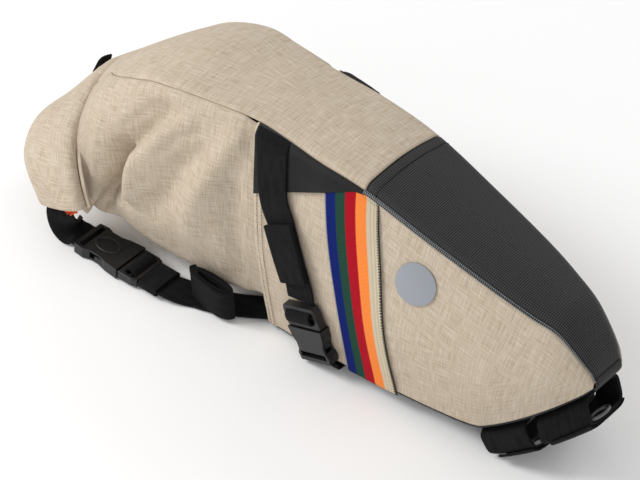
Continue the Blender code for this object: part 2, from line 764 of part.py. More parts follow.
def build_side_straps(parent):
    """The straps from the wing's top corner down each side to the saddle side, with their buckles."""
    lower = skin_point(BODY_ROWS, *SIDE_BUCKLE_LINE[1])
    upper = skin_point(BODY_ROWS, *SIDE_BUCKLE_LINE[0])
    face = skin_normal(BODY_ROWS, SIDE_BUCKLE_LINE[0][0], 1.2)
    along = (upper - lower).normalized()
    length = SIDE_BUCKLE_LENGTH + LADDER_LENGTH
    spot = SIDE_BUCKLE_LINE[1]
    for _ in range(12):
        spot = hug(*spot, along * (length + STRAP_GAP * 2) / 12)
    lift = 2 * PATCH_SPACE + PATCH
    line = SIDE_STRAP_LINE + (spot,)
    strap = layer_mesh("side_strap", strip_grid(line, 12, WEBBING_WIDTH), lift, WEBBING)
    add_pair("side_strap", strap, WEBBING_BLACK, parent)
    top = Vector(SIDE_STRAP_LINE[2]).lerp(Vector(SIDE_STRAP_LINE[1]), 0.15)
    middle = top.lerp(Vector(SIDE_STRAP_LINE[3]), 0.5)
    tail_line = (tuple(top), tuple(middle), SIDE_STRAP_LINE[3])
    tail_lift = lift + WEBBING + PATCH_SPACE
    tail = layer_mesh("strap_tail", strip_grid(tail_line, 6, WEBBING_WIDTH * 1.04), tail_lift, 2 * WEBBING)
    add_pair("strap_tail", tail, WEBBING_BLACK, parent)
    origin = lower + face * (BUCKLE_THICKNESS / 2 + PATCH_SPACE) + along * 0.0016
    socket = place_mesh(socket_mesh(SIDE_BUCKLE_LENGTH), "side_socket", origin, along, face)
    plug = place_mesh(plug_mesh(SIDE_BUCKLE_LENGTH), "side_plug", origin, along, face)
    add_pair("side_buckle_socket", socket, BUCKLE_BLACK, parent)
    add_pair("side_buckle_plug", plug, BUCKLE_BLACK, parent)
    across = along.cross(face).normalized()
    bar = origin - along * (WEBBING / 2 + CLEARANCE * 7)
    under = -PATCH_SPACE - WEBBING / 2
    level = Vector((1, 0, 0))
    stops = (
        (bar, across),
        (Vector((bar.x, bar.y + 0.0035, bar.z - 0.0008)), (across + level * 2).normalized()),
        (Vector((bar.x, bar.y + 0.0070, under - 0.0008)), level),
        (Vector((bar.x, bar.y + 0.024, under)), level),
        (Vector((bar.x, bar.y + 0.036, under)), level),
    )
    add_pair("side_strap_base", band_mesh("side_base", stops, WEBBING_WIDTH, WEBBING, 8), WEBBING_BLACK, parent)


def face_place(distance):
    """The place on the body whose bottom centre lies a given distance up the seatpost face."""
    low = 0.0
    high = float(CORNER_PLACE)
    for _ in range(24):
        middle = (low + high) / 2
        if (skin_point(BODY_ROWS, middle, 0) - FACE_CORNER).dot(FACE_WAY) > distance:
            low = middle
        else:
            high = middle
    return (low + high) / 2


def grip_path(distance, inward):
    """One edge of a seatpost strap: a rounded loop that hangs from the seatpost face."""
    place = face_place(distance)
    base = skin_point(BODY_ROWS, place, 0)
    half = -skin_point(BODY_ROWS, place, 1.0).y - inward
    depth = GRIP_DEPTH - 2 * inward
    points = []
    for side in range(GRIP_SIDES):
        angle = 2 * math.pi * side / GRIP_SIDES
        wide = math.copysign(abs(math.cos(angle)) ** 0.35, math.cos(angle)) * half
        deep = math.copysign(abs(math.sin(angle)) ** 0.45, math.sin(angle)) * depth / 2
        away = FACE_OUT * (deep + GRIP_DEPTH / 2 + GRIP_GAP)
        points.append(base + away + Vector((0, wide, 0)))
    return points


def build_grips(parent):
    """The two straps that grip the seatpost, each with its plastic ring."""
    for index, label in enumerate(("lower", "upper")):
        start = GRIP_START + index * GRIP_SPACING
        distances = (start, start + GRIP_WIDTH / 2, start + GRIP_WIDTH)
        outer = [grip_path(distance, 0.0) for distance in distances]
        inner = [grip_path(distance, GRIP_THICKNESS) for distance in distances]
        mesh = wall_mesh(f"grip_{label}", outer, inner, closed=True)
        name = f"seatpost_strap_{label}"
        add_object(name, mesh, make_material(name, WEBBING_BLACK), parent)
        add_object(f"strap_ring_{label}", ring_mesh(distances), make_material(f"ring_{label}", RING_GREY), parent)


def ring_mesh(distances):
    """A flat plastic ring at the front edge of a seatpost strap's hanging side."""
    front = skin_point(BODY_ROWS, face_place(distances[2]), 0)
    hang = front + FACE_OUT * (GRIP_DEPTH + GRIP_GAP - GRIP_THICKNESS)
    hang += FACE_WAY * (RING_DEPTH / 2 + CLEARANCE * 3) - Vector((0, RING_ASIDE, 0))
    level = Vector((0, 1, 0))
    outer = []
    inner = []
    for rise in (0.0, RING_BAR):
        lines = []
        for grow in (0.0, RING_BAR / 2):
            wide = RING_WIDTH / 2 - grow
            long = RING_DEPTH / 2 - grow
            corners = ((-wide, -long), (wide, -long), (wide, long), (-wide, long))
            lines.append([hang + level * a + FACE_WAY * b - FACE_OUT * rise for a, b in corners])
        outer.append(lines[0])
        inner.append(lines[1])
    return wall_mesh("ring", outer, inner, closed=True)


def floor_height(x):
    """The surface that the pack lies on, seen in the pack's own frame."""
    return (x + BASE_LENGTH) * REST_SLOPE


def floor_point(x, y, above):
    """A point a given height above the surface the pack lies on."""
    return Vector((x, y, floor_height(x) + above))


def build_rear_straps(parent):
    """On each side the webbing from the roll's end, its buckle, and the strap on to the wing."""
    bar_x = ROLL_START + REAR_BUCKLE_AHEAD
    line_y = -REAR_BUCKLE_ASIDE
    along = Vector((1, REAR_BUCKLE_TURN, REST_SLOPE)).normalized()
    rise = BUCKLE_THICKNESS / 2 + FLOOR_SPACE
    origin = floor_point(bar_x, line_y, rise)
    socket = place_mesh(socket_mesh(BUCKLE_LENGTH), "rear_socket", origin, along, (0, 0, 1))
    plug = place_mesh(plug_mesh(BUCKLE_LENGTH), "rear_plug", origin, along, (0, 0, 1))
    add_pair("rear_buckle_socket", socket, BUCKLE_BLACK, parent)
    add_pair("rear_buckle_plug", plug, BUCKLE_BLACK, parent)
    stops = []
    for share in (0.82, 0.92, 1.0):
        corner, outward, across = roll_frame(share, 0.55)
        stops.append((corner + across * ROLL_DEPTH * 0.55 - outward * 0.0014, -across))
    end = stops[-1][0]
    side = Vector((-REAR_BUCKLE_TURN, 1, 0))
    bar = origin - along * STRAP_GAP
    stops += [
        (end + Vector((0.003, -0.002, -0.013)), Vector((1, 0.3, 0.05))),
        (bar + Vector((-0.012, -0.004, 0.0042)), Vector((0.3, 1, 0.02))),
        (bar - along * 0.005, side),
        (bar, side),
    ]
    add_pair("roll_strap", band_mesh("roll_strap", stops, WEBBING_WIDTH, WEBBING, 18), WEBBING_BLACK, parent)
    start = origin + along * (BUCKLE_LENGTH + LADDER_LENGTH + STRAP_GAP)
    way = along
    wing_x = -BASE_LENGTH
    flat = Vector((-0.2, 1, 0))
    inside = CLOTH + CLEARANCE * 2 + WEBBING / 2
    stops = (
        (start, side),
        (start + way * KEEPER_LENGTH * 0.6, side),
        (start + way * KEEPER_LENGTH * 1.35, side),
        (floor_point(wing_x - 0.060, -0.0690, STRAP_RISE), flat),
        (floor_point(wing_x - 0.047, -0.0640, STRAP_RISE), flat),
        (floor_point(wing_x - 0.030, -0.0540, STRAP_RISE), flat),
        (Vector((wing_x - 0.014, -0.0430, inside + 0.0010)), flat),
        (Vector((wing_x - 0.002, -0.0350, inside + 0.0012)), flat),
        (Vector((wing_x + 0.010, -0.0300, inside + 0.0008)), flat),
    )
    rear_strap = band_mesh("rear_strap", stops, WEBBING_WIDTH, WEBBING, 21)
    add_pair("rear_strap", rear_strap, WEBBING_BLACK, parent)
    add_pair("strap_keeper", keeper_mesh(start + way * STRAP_GAP, way, side), WEBBING_BLACK, parent)
    add_pair("rolled_tail", coil_mesh(start + way * KEEPER_LENGTH), WEBBING_BLACK, parent)


def keeper_mesh(start, along, side):
    """The elastic band that holds the strap's tail, just behind the plug."""
    outer = []
    inner = []
    up = along.cross(side).normalized()
    for share in (0.0, 0.5, 1.0):
        centre = start + along * KEEPER_LENGTH * share
        lines = []
        for grow in (KEEPER_THICKNESS, 0.0):
            wide = WEBBING_WIDTH / 2 + CLEARANCE * 3 + grow
            high = WEBBING + CLEARANCE * 4 + grow
            points = []
            for turn in range(12):
                angle = 2 * math.pi * (turn + 0.5) / 12
                a = math.copysign(abs(math.cos(angle)) ** 0.4, math.cos(angle)) * wide
                b = math.copysign(abs(math.sin(angle)) ** 0.6, math.sin(angle)) * high
                points.append(centre + side * a + up * b)
            lines.append(points)
        outer.append(lines[0])
        inner.append(lines[1])
    return wall_mesh("keeper", outer, inner, closed=True)


def coil_mesh(start):
    """The strap's spare end, rolled up flat and standing on its edge in front of the strap."""
    centre = start + Vector((COIL_LENGTH / 2 + COIL_AHEAD, COIL_ASIDE, 0))
    base = floor_height(centre.x) + STRAP_RISE + WEBBING / 2 + FLOOR_SPACE * 2
    pitch = WEBBING + LAYER_SPACE
    count = 26
    path = []
    for step in range(count + 1):
        turned = COIL_TURNS * step / count
        angle = math.radians(150) + 2 * math.pi * turned
        long = COIL_LENGTH / 2 - pitch * turned
        deep = COIL_DEPTH / 2 - pitch * turned
        a = math.copysign(abs(math.cos(angle)) ** 0.8, math.cos(angle)) * long
        path.append(Vector((centre.x + a, centre.y + math.sin(angle) * deep)))
    outer = []
    inner = []
    for rise in (0.0, WEBBING_WIDTH):
        outer_line = []
        inner_line = []
        for index, spot in enumerate(path):
            way = (path[min(index + 1, count)] - path[max(index - 1, 0)]).normalized()
            side = Vector((-way.y, way.x)) * WEBBING / 2
            height = base + rise + (spot.x - centre.x) * REST_SLOPE
            outer_line.append(Vector((*(spot + side), height)))
            inner_line.append(Vector((*(spot - side), height)))
        outer.append(outer_line)
        inner.append(inner_line)
    return wall_mesh("coil", outer, inner)


def build_mouth_pieces(parent):
    """The lining's edge inside the roll, the binding across the nose and the light loop."""
    outer = []
    inner = []
    for share in steps_between(-1.0, 1.0, ROLL_STEPS)[-3:]:
        corner, outward, across = roll_frame(-share, 0.5)
        lines = []
        for rise in (LINING_RISE + PATCH, LINING_RISE):
            lines.append([
                corner + across * ROLL_DEPTH * depth + outward * rise for depth in (0.36, 0.5, 0.64)
            ])
        outer.append(lines[0])
        inner.append(lines[1])
    add_pair("mouth_lining", wall_mesh("mouth_lining", outer, inner), LINING_ORANGE, parent)
    upper = skin_point(BODY_ROWS, 0.0, 2.0)
    lower = skin_point(BODY_ROWS, 0.0, 1.0)
    front = max(upper.x, lower.x) + BINDING / 2 + CLEARANCE
    height = (upper.z + lower.z) / 2
    rise = Vector((0, 0, 1))
    stops = [(Vector((front, upper.y * share, height)), rise) for share in (-1, -0.5, 0, 0.5, 1)]
    binding = band_mesh("nose_binding", stops, BINDING_WIDTH, BINDING, 6)
    add_object("nose_binding", binding, make_material("speckled_binding", TEXTURED_BLACK), parent)
    stops = []
    near = [height for depth, height in roll_profile() if abs(depth - LOOP_DEPTH) < ROLL_DEPTH * 0.1]
    top = max(near) + (ROLLED_CLOTH + WEBBING) / 2 + CLEARANCE + LOOP_RISE
    for share in (-1, -0.6, 0, 0.6, 1):
        corner, outward, across = roll_frame(share * LOOP_WIDTH / ROLL_LENGTH, 0.2)
        stops.append((corner + across * LOOP_DEPTH + outward * (top + 0.0015 * (1 - share * share)), across))
    loop = band_mesh("light_loop", stops, LOOP_LENGTH, WEBBING, 8)
    add_object("light_loop", loop, make_material("light_loop", WEBBING_BLACK), parent)


FACE_CORNER = Vector((0, 0, 0))
FACE_WAY = (skin_point(BODY_ROWS, 1.0, 0) - FACE_CORNER).normalized()
FACE_OUT = Vector((FACE_WAY.z, 0, -FACE_WAY.x))
LOWEST_GRIP = min((point for point in grip_path(GRIP_START, 0.0)), key=lambda point: point.z)
REST_SLOPE = LOWEST_GRIP.z / (LOWEST_GRIP.x + BASE_LENGTH)

clear_scene()
pack = bpy.data.objects.new("seat_pack", None)
bpy.context.collection.objects.link(pack)
build_body(pack)
build_sleeve(pack)
build_roll(pack)
build_side_pieces(pack)
build_side_straps(pack)
build_grips(pack)
build_rear_straps(pack)
build_mouth_pieces(pack)

# Set the pack down: level the surface it lies on and put the bottom centre of its box at the origin.
lean = Matrix.Rotation(math.atan(REST_SLOPE), 4, "Y")
spots = [lean @ vertex.co for thing in pack.children for vertex in thing.data.vertices]
lowest = [min(spot[axis] for spot in spots) for axis in range(3)]
highest = [max(spot[axis] for spot in spots) for axis in range(3)]
pack.rotation_euler = (0, math.atan(REST_SLOPE), 0)
pack.location = (-(lowest[0] + highest[0]) / 2, -(lowest[1] + highest[1]) / 2, -lowest[2])
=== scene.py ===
"""Looks of the bicycle seat pack: tan heather cloth, black panels, webbing, buckles and a rolled mouth."""
import math

import bpy
import bmesh
from mathutils import Matrix, Vector, noise


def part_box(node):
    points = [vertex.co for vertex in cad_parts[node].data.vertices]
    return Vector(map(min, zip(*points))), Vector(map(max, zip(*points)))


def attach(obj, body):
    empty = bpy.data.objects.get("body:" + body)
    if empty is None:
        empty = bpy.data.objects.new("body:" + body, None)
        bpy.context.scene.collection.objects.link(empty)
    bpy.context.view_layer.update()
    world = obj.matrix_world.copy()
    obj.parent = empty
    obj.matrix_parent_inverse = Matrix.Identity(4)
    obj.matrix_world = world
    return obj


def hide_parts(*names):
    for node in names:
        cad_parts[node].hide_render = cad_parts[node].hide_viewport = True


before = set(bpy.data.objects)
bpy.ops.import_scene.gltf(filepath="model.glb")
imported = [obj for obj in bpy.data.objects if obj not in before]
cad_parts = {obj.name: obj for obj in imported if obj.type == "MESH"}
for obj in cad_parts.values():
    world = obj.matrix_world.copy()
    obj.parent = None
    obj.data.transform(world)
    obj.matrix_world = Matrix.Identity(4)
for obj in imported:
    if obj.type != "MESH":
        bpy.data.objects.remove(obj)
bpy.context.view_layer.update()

# SIDE PANELS
# Tan heather cloth, the two sides of the sewn body from the nose to the stitched wing edge. Everything
# is shaped in the pack's own frame, in metres: +X to the nose, -Y to the near side and +Z up from the
# flat saddle panel, with x = 0 at the seatpost corner. dress() then sets it down as the pack lies.
BASE_LENGTH = 0.182
SLEEVE_LENGTH = 0.201
NOSE_REACH = 0.075
NOSE_RISE = 0.062
BODY_HEIGHT = 0.174
BASE_WIDTH = 0.108
TOP_WIDTH = 0.091
SIDE_BULGE = 0.013
TOP_CROWN = 0.004
SLEEVE_LIFT = 0.020
SLEEVE_WIDTH = 0.116
CLOTH = 0.0016
SEAM_RADIUS = 0.009
EDGE_RADIUS = 0.005
REST_LEAN = math.atan(-0.0916)

# (station_top, height_top, half_top, station_bottom, height_bottom, half_bottom, bulge, crown)
BODY_SECTIONS = (
    (1.005, 0.392, 0.375, 0.995, 0.980, 0.305, 0.00, 0.3),
    (0.920, 0.470, 0.400, 0.880, 0.820, 0.440, 0.25, 0.5),
    (0.667, 0.594, 0.480, 0.560, 0.480, 0.665, 0.60, 0.8),
    (0.400, 0.647, 0.590, 0.160, 0.120, 0.800, 0.85, 1.0),
    (0.000, 0.712, 0.705, -0.040, 0.000, 0.850, 1.00, 1.0),
    (-0.275, 0.812, 0.820, -0.330, 0.000, 0.960, 1.00, 1.0),
    (-0.566, 0.915, 0.910, -0.605, 0.000, 1.000, 0.85, 1.0),
    (-0.824, 0.959, 0.977, -0.802, 0.000, 1.010, 0.70, 1.0),
    (-1.082, 0.982, 1.023, -1.000, 0.000, 0.985, 0.62, 1.0),
)
# (station_top, height_top, half_top, station_bottom, height_bottom, half_bottom, bulge, crown, closing)
SLEEVE_SECTIONS = (
    (-0.824, 0.959, 0.977, -0.860, 0.80, 0.86, 0.60, 1.0, 0.00),
    (-1.082, 0.982, 1.023, -1.070, 0.90, 0.87, 0.62, 1.0, 0.00),
    (-1.264, 0.993, 1.110, -1.249, 0.98, 0.97, 1.10, 1.2, 0.00),
    (-1.438, 0.997, 1.190, -1.428, 1.20, 1.05, 1.20, 1.5, 0.00),
    (-1.612, 0.955, 1.130, -1.572, 1.55, 1.14, 1.20, 1.6, 0.08),
    (-1.761, 0.880, 1.050, -1.677, 1.90, 1.24, 1.00, 1.6, 0.35),
    (-1.896, 0.800, 0.950, -1.761, 2.25, 1.35, 0.60, 1.0, 0.75),
    (-2.000, 0.740, 0.900, -1.850, 2.40, 1.40, 0.30, 0.5, 1.00),
)
ROLL_LENGTH = 0.264
ROLL_CREST = 0.120
MOUTH_SKEW = 0.056
TILT_MIDDLE = math.radians(62)
TILT_END = math.radians(3)
ROLL_BEND = math.radians(98)
END_SLANT = 0.085
MOUTH_SPACE = 0.0022
ROUNDING = 0.14


def station_x(station):
    """Turn a station number into a distance along the pack."""
    if station >= 0:
        return station * NOSE_REACH
    if station >= -1:
        return station * BASE_LENGTH
    return -BASE_LENGTH + (station + 1) * SLEEVE_LENGTH


def metre_rows(table, bottom_width, bottom_height):
    """Turn a table of shares into rows in metres."""
    rows = []
    for row in table:
        height_size = NOSE_RISE if row[3] > -0.1 else bottom_height
        rows.append((
            station_x(row[0]), row[1] * BODY_HEIGHT, row[2] * TOP_WIDTH / 2,
            station_x(row[3]), row[4] * height_size, row[5] * bottom_width / 2,
            row[6] * SIDE_BULGE, row[7] * TOP_CROWN, *row[8:],
        ))
    return rows


BODY = metre_rows(BODY_SECTIONS, BASE_WIDTH, 0.0)
SLEEVE = metre_rows(SLEEVE_SECTIONS, SLEEVE_WIDTH, SLEEVE_LIFT)
SEAM_PLACE = 6
CORNER_PLACE = 4
WING_PLACE = 8
SLEEVE_TUCKED = 0.8
SLEEVE_LAST = 7


def spline(rows, place):
    """A smooth curve through a table's rows, all columns at once; place 0 is the first row."""
    last = len(rows) - 1
    index = min(int(max(place, 0.0)), last - 1)
    share = place - index
    before = rows[max(index - 1, 0)]
    here = rows[index]
    there = rows[index + 1]
    after = rows[min(index + 2, last)]
    square = share * share
    cube = square * share
    values = []
    for a, b, c, d in zip(before, here, there, after):
        slope_here = (c - a) / 2 if index > 0 else c - b
        slope_there = (d - b) / 2 if index + 1 < last else c - b
        value = (2 * cube - 3 * square + 1) * b + (cube - 2 * square + share) * slope_here
        values.append(value + (3 * square - 2 * cube) * c + (cube - square) * slope_there)
    return values


def ease(share):
    """A soft step from 0 to 1."""
    share = min(max(share, 0.0), 1.0)
    return share * share * (3 - 2 * share)


def arch_point(share):
    """The front edge of the rolled mouth: its point and the ways outward and across the depth."""
    steps = 24
    size = abs(share)
    side = 1 if share >= 0 else -1
    y = 0.0
    z = ROLL_CREST
    for step in range(steps):
        heading = ROLL_BEND * (size * (step + 0.5) / steps) ** 1.5
        y -= math.cos(heading) * size * ROLL_LENGTH / 2 / steps
        z -= math.sin(heading) * size * ROLL_LENGTH / 2 / steps
    x = station_x(-2.0) + MOUTH_SKEW * size ** 1.3
    heading = ROLL_BEND * size ** 1.5
    up = Vector((0, -math.sin(heading) * side, math.cos(heading)))
    rounded = size * size * (1 + ROUNDING) / (size + ROUNDING)
    tilt = TILT_END + (TILT_MIDDLE - TILT_END) * (1 - rounded) ** 1.3
    across = Vector((-math.cos(tilt), 0, 0)) - up * math.sin(tilt)
    outward = Vector((-math.sin(tilt), 0, 0)) + up * math.cos(tilt)
    return Vector((x, y * side, z)), outward, across


def corner_curve(points, bends, place):
    """Walk the near half of a section: 0 bottom centre, 1 bottom corner, 2 top corner, 3 top centre."""
    for corner in (1, 2):
        before = (points[corner] - points[corner - 1]).length
        after = (points[corner + 1] - points[corner]).length
        back = min(bends[corner - 1] / max(before, 1e-6), 0.45)
        ahead = min(bends[corner - 1] / max(after, 1e-6), 0.45)
        if corner - back < place < corner + ahead:
            share = (place - corner + back) / (back + ahead)
            start = points[corner].lerp(points[corner - 1], back)
            end = points[corner].lerp(points[corner + 1], ahead)
            return start.lerp(points[corner], share).lerp(points[corner].lerp(end, share), share)
    index = min(int(place), 2)
    return points[index].lerp(points[index + 1], place - index)


def skin_point(rows, place, around):
    """A point of the outer skin; around goes 0 to 3 from bottom centre to top centre, near side."""
    row = spline(rows, place)
    around = (around + 3) % 6 - 3
    side = 1 if around >= 0 else -1
    walk = abs(around)
    top = Vector((row[0], -row[2], row[1]))
    bottom = Vector((row[3], -row[5], row[4]))
    points = (Vector((row[3], 0, row[4])), bottom, top, Vector((row[0], 0, row[1])))
    point = corner_curve(points, (EDGE_RADIUS, SEAM_RADIUS), walk)
    if 1 < walk < 2:
        point.y -= row[6] * math.sin(math.pi * (walk - 1)) ** 1.3
    if walk > 2:
        point.z += row[7] * math.sin(math.pi / 2 * (walk - 2)) ** 1.2
    closing = ease(row[8]) if len(row) > 8 else 0.0
    if closing > 0:
        share = walk / 1.5 if walk < 1.5 else (3 - walk) / 1.5
        arch, outward, across = arch_point(share * (1 - END_SLANT))
        half = CLOTH + MOUTH_SPACE / 2
        layer = half if walk > 1.5 else -half
        arch += outward * layer * math.sin(math.pi / 2 * min(1.0, (1 - share) * 8))
        point = point.lerp(arch, closing)
    point.y *= side
    return point


def skin_normal(rows, place, around):
    """The outward direction of the skin."""
    last = len(rows) - 1
    low = max(place - 0.02, 0.0)
    high = min(place + 0.02, last)
    along = skin_point(rows, high, around) - skin_point(rows, low, around)
    turn = skin_point(rows, place, around + 0.01) - skin_point(rows, place, around - 0.01)
    return turn.cross(along).normalized()


def cloth_grid(surface, along_count, around_count, depth=None, width=None, closed=False):
    """A grid of cloth whose points surface(along, around) gives, both from 0 to 1, pressed in by
    depth. The first UV direction runs along the cloth and the second in from its long edges, both
    in metres; with a width, the second runs right across and is drawn out to that width."""
    build = bmesh.new()
    bmesh.ops.create_grid(build, x_segments=along_count, y_segments=around_count, size=1)
    lines = {}
    for vertex in build.verts:
        along = (vertex.co.x + 1) / 2
        around = (vertex.co.y + 1) / 2
        vertex.co = surface(along, around)
        lines.setdefault(round(along, 5), []).append((around, vertex))
    places = {}
    length = 0.0
    before = None
    for along in sorted(lines):
        line = sorted(lines[along], key=lambda item: item[0])
        middle = line[len(line) // 2][1].co
        if before is not None:
            length += (middle - before).length
        before = middle.copy()
        girth = 0.0
        for index, (around, vertex) in enumerate(line):
            if index:
                girth += (vertex.co - line[index - 1][1].co).length
            places[vertex] = (length, girth, along, around)
        for around, vertex in line:
            places[vertex] += (girth,)
    layer = build.loops.layers.uv.new("UVMap")
    for face in build.faces:
        for loop in face.loops:
            u, v, *_ways, girth = places[loop.vert]
            loop[layer].uv = (u, v / girth * width) if width else (u, min(v, girth - v))
    if closed:
        bmesh.ops.remove_doubles(build, verts=build.verts, dist=0.00001)
        places = {}
    build.normal_update()
    outness = 0.0
    for face in build.faces:
        middle = face.calc_center_median()
        outness += face.normal.dot(middle - Vector((middle.x, 0, 0.07)))
    if outness < 0:
        bmesh.ops.reverse_faces(build, faces=build.faces)
        build.normal_update()
    if depth:
        moves = []
        for vertex, (u, v, along, around, girth) in places.items():
            pressed = depth(along, around, vertex.co, min(v, girth - v), min(u, length - u))
            moves.append((vertex, vertex.normal * pressed))
        for vertex, move in moves:
            vertex.co -= move
        build.normal_update()
    return build


saddle_corner = Matrix.Rotation(REST_LEAN, 4, "Y") @ Vector((-BASE_LENGTH, 0, 0))
saddle_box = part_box("saddle_panel")
SET_DOWN = Matrix.Rotation(REST_LEAN, 4, "Y")
SET_DOWN.translation = Vector((saddle_box[0][0] - saddle_corner.x, 0, -saddle_corner.z))


def dress(name, build, material, slot, *nodes, wall=0.0, offset=-1.0, bevel=0.0):
    """Make a finished shape a piece of the pack, with its wall, cloth and place."""
    build.transform(SET_DOWN)
    mesh = bpy.data.meshes.new(name)
    build.to_mesh(mesh)
    build.free()
    mesh.shade_smooth()
    mesh.materials.append(material)
    piece = bpy.data.objects.new(name, mesh)
    bpy.context.collection.objects.link(piece)
    if wall:
        change = piece.modifiers.new("wall", "SOLIDIFY")
        change.thickness = wall
        change.offset = offset
        change.use_even_offset = False
    if bevel:
        change = piece.modifiers.new("edge", "BEVEL")
        change.width = bevel
        change.segments = 2
        change.limit_method = "ANGLE"
        change.angle_limit = math.radians(50)
    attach(piece, "root")
    if nodes:
        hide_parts(*nodes)
    return piece


def node_in(tree, kind, **inputs):
    """A shader node with its inputs set; an input given as a socket is linked."""
    node = tree.nodes.new(kind)
    for name, value in inputs.items():
        target = node.inputs[int(name[1:])] if name[1:].isdigit() else node.inputs[name.replace("_", " ")]
        if isinstance(value, bpy.types.NodeSocket):
            tree.links.new(value, target)
        else:
            target.default_value = value
    return node


def maths(operation, first, second=0.0):
    """One step of arithmetic on node sockets, the first a socket."""
    node = node_in(first.id_data, "ShaderNodeMath", i0=first, i1=second)
    node.operation = operation
    return node.outputs[0]


def plus(first, second):
    """The sum of two node sockets."""
    return maths("ADD", first, second)


def times(first, second):
    """A node socket times another or a number."""
    return maths("MULTIPLY", first, second)


def new_material(name, roughness, specular=0.3, sheen=0.0):
    """A material, its principled shader and the two directions of the cloth in metres."""
    material = bpy.data.materials.new(name)
    material.use_nodes = True
    shader = material.node_tree.nodes["Principled BSDF"]
    shader.inputs["Roughness"].default_value = roughness
    shader.inputs["Specular IOR Level"].default_value = specular
    shader.inputs["Sheen Weight"].default_value = sheen
    shader.inputs["Sheen Roughness"].default_value = 0.4
    coords = node_in(material.node_tree, "ShaderNodeTexCoord")
    parts = node_in(material.node_tree, "ShaderNodeSeparateXYZ", i0=coords.outputs["UV"])
    return material, shader, coords, parts.outputs["X"], parts.outputs["Y"]


def streaks(coords, along, across, detail=3.0):
    """Noise drawn out along the threads: scales per metre in the two directions of the cloth."""
    tree = coords.id_data
    drawn = node_in(tree, "ShaderNodeMapping", Vector=coords.outputs["UV"], Scale=(along, across, 1))
    waver = node_in(tree, "ShaderNodeTexNoise", Vector=drawn.outputs[0], Scale=1.0, Detail=detail)
    return waver.outputs[0]


def ramp(value, *stops):
    """A colour ramp from (place, colour) stops."""
    node = node_in(value.id_data, "ShaderNodeValToRGB", Fac=value)
    elements = node.color_ramp.elements
    while len(elements) < len(stops):
        elements.new(0.5)
    for element, (place, colour) in zip(elements, stops):
        element.position = place
        element.color = (*colour, 1)
    return node


def paint(shader, colour):
    """Give the shader the colour that a node makes."""
    shader.id_data.links.new(colour.outputs[0], shader.inputs["Base Color"])


def bumped(shader, height, distance, strength):
    """Bump from a height between 0 and 1, scaled to a distance in metres."""
    bump = node_in(shader.id_data, "ShaderNodeBump", Height=height, Distance=distance, Strength=strength)
    shader.id_data.links.new(bump.outputs[0], shader.inputs["Normal"])


def ribs(way, pitch):
    """Even ribs across one direction of the cloth, from -1 to 1."""
    return maths("SINE", times(way, 2 * math.pi / pitch))


def threads(u, v, pitch):
    """The ups and downs of a plain weave of the given thread spacing."""
    return maths("MULTIPLY_ADD", times(ribs(u, pitch), ribs(v, pitch)), 0.5)


def heather(name, dark, middle, light):
    """Tan melange cloth: light and dark fibres in both thread directions, over a plain weave."""
    material, shader, coords, u, v = new_material(name, 0.9, 0.12, 0.05)
    fibre = times(plus(streaks(coords, 70, 1300), streaks(coords, 1300, 70)), 0.40)
    slub = maths("MAXIMUM", streaks(coords, 45, 950, 1.0), streaks(coords, 950, 45, 1.0))
    fibre = plus(fibre, times(slub, 0.19))
    cloud = maths("SUBTRACT", streaks(coords, 28, 28, 4.0), 0.5)
    paint(shader, ramp(plus(fibre, times(cloud, 0.10)), (0.34, dark), (0.50, middle), (0.66, light)))
    bumped(shader, plus(times(threads(u, v, 0.0011), 0.5), fibre), 0.00022, 0.8)
    return material


tan_cloth = heather("tan_cloth", (0.345, 0.272, 0.192), (0.490, 0.410, 0.317), (0.630, 0.548, 0.448))
SEAM_OVER = 0.10
SIDE_GAP = 0.004
HEM = 0.0085
HEM_RISE = 0.0007
HEM_SLOPE = 0.0012
EDGE_DIP = 0.0009
EDGE_ROLL = 0.0016
FLAT_EDGE = 0.02


def body_seam(place):
    """Where the seam above the side panel runs: on the corner, and a little over it at the wing."""
    return 2 + SEAM_OVER * ease((place - 6.6) / 1.4)


def rolled_in(edge, dip=EDGE_DIP, reach=EDGE_ROLL):
    """How far the cloth turns in at its seam."""
    return dip * math.exp(-(edge / reach) ** 2)


def side_surface(side):
    """The side panel as a surface, with a small gap to the seams."""
    def surface(along, around):
        place = WING_PLACE * along
        way = 1 + SIDE_GAP + (body_seam(place) - 1 - 2 * SIDE_GAP) * around
        return skin_point(BODY, place, side * way)
    return surface


def side_depth(along, around, point, edge, end):
    """Rolled-in seam edges, the raised hem of the wing and a slight unevenness of the cloth."""
    soft = noise.noise(point * 22) * 0.0006 + noise.noise(point * 60) * 0.00020
    depth = soft * ease(edge / FLAT_EDGE) + rolled_in(edge)
    if along > 0.5:
        depth -= HEM_RISE * ease((HEM - end) / HEM_SLOPE)
    return depth


for label, side in (("near", 1), ("far", -1)):
    panel = cloth_grid(side_surface(side), 180, 100, side_depth)
    dress(f"side_cloth_{label}", panel, tan_cloth, "tan", f"side_panel_{label}", wall=CLOTH)

# TOP PANELS
# The same tan cloth over the back half and a black dotted weave over the nose, sewn edge to edge.
TOP_GAP = 0.006
SLEEVE_GAP = 0.002
SEAM_CLIMB = 0.55
SLEEVE_DROOP = 0.027
SLEEVE_PULL = 0.013
CORNER_PULL = 0.012


def seam_way(place):
    """Where the seam between top and sleeve runs: along the corner, then up to the roll."""
    over = SEAM_OVER * (1 - 0.65 * ease((place - 1) / 2.4))
    return 2 + over + SEAM_CLIMB * min(max((place - 4.0) / 1.45, 0), 1) ** 1.7


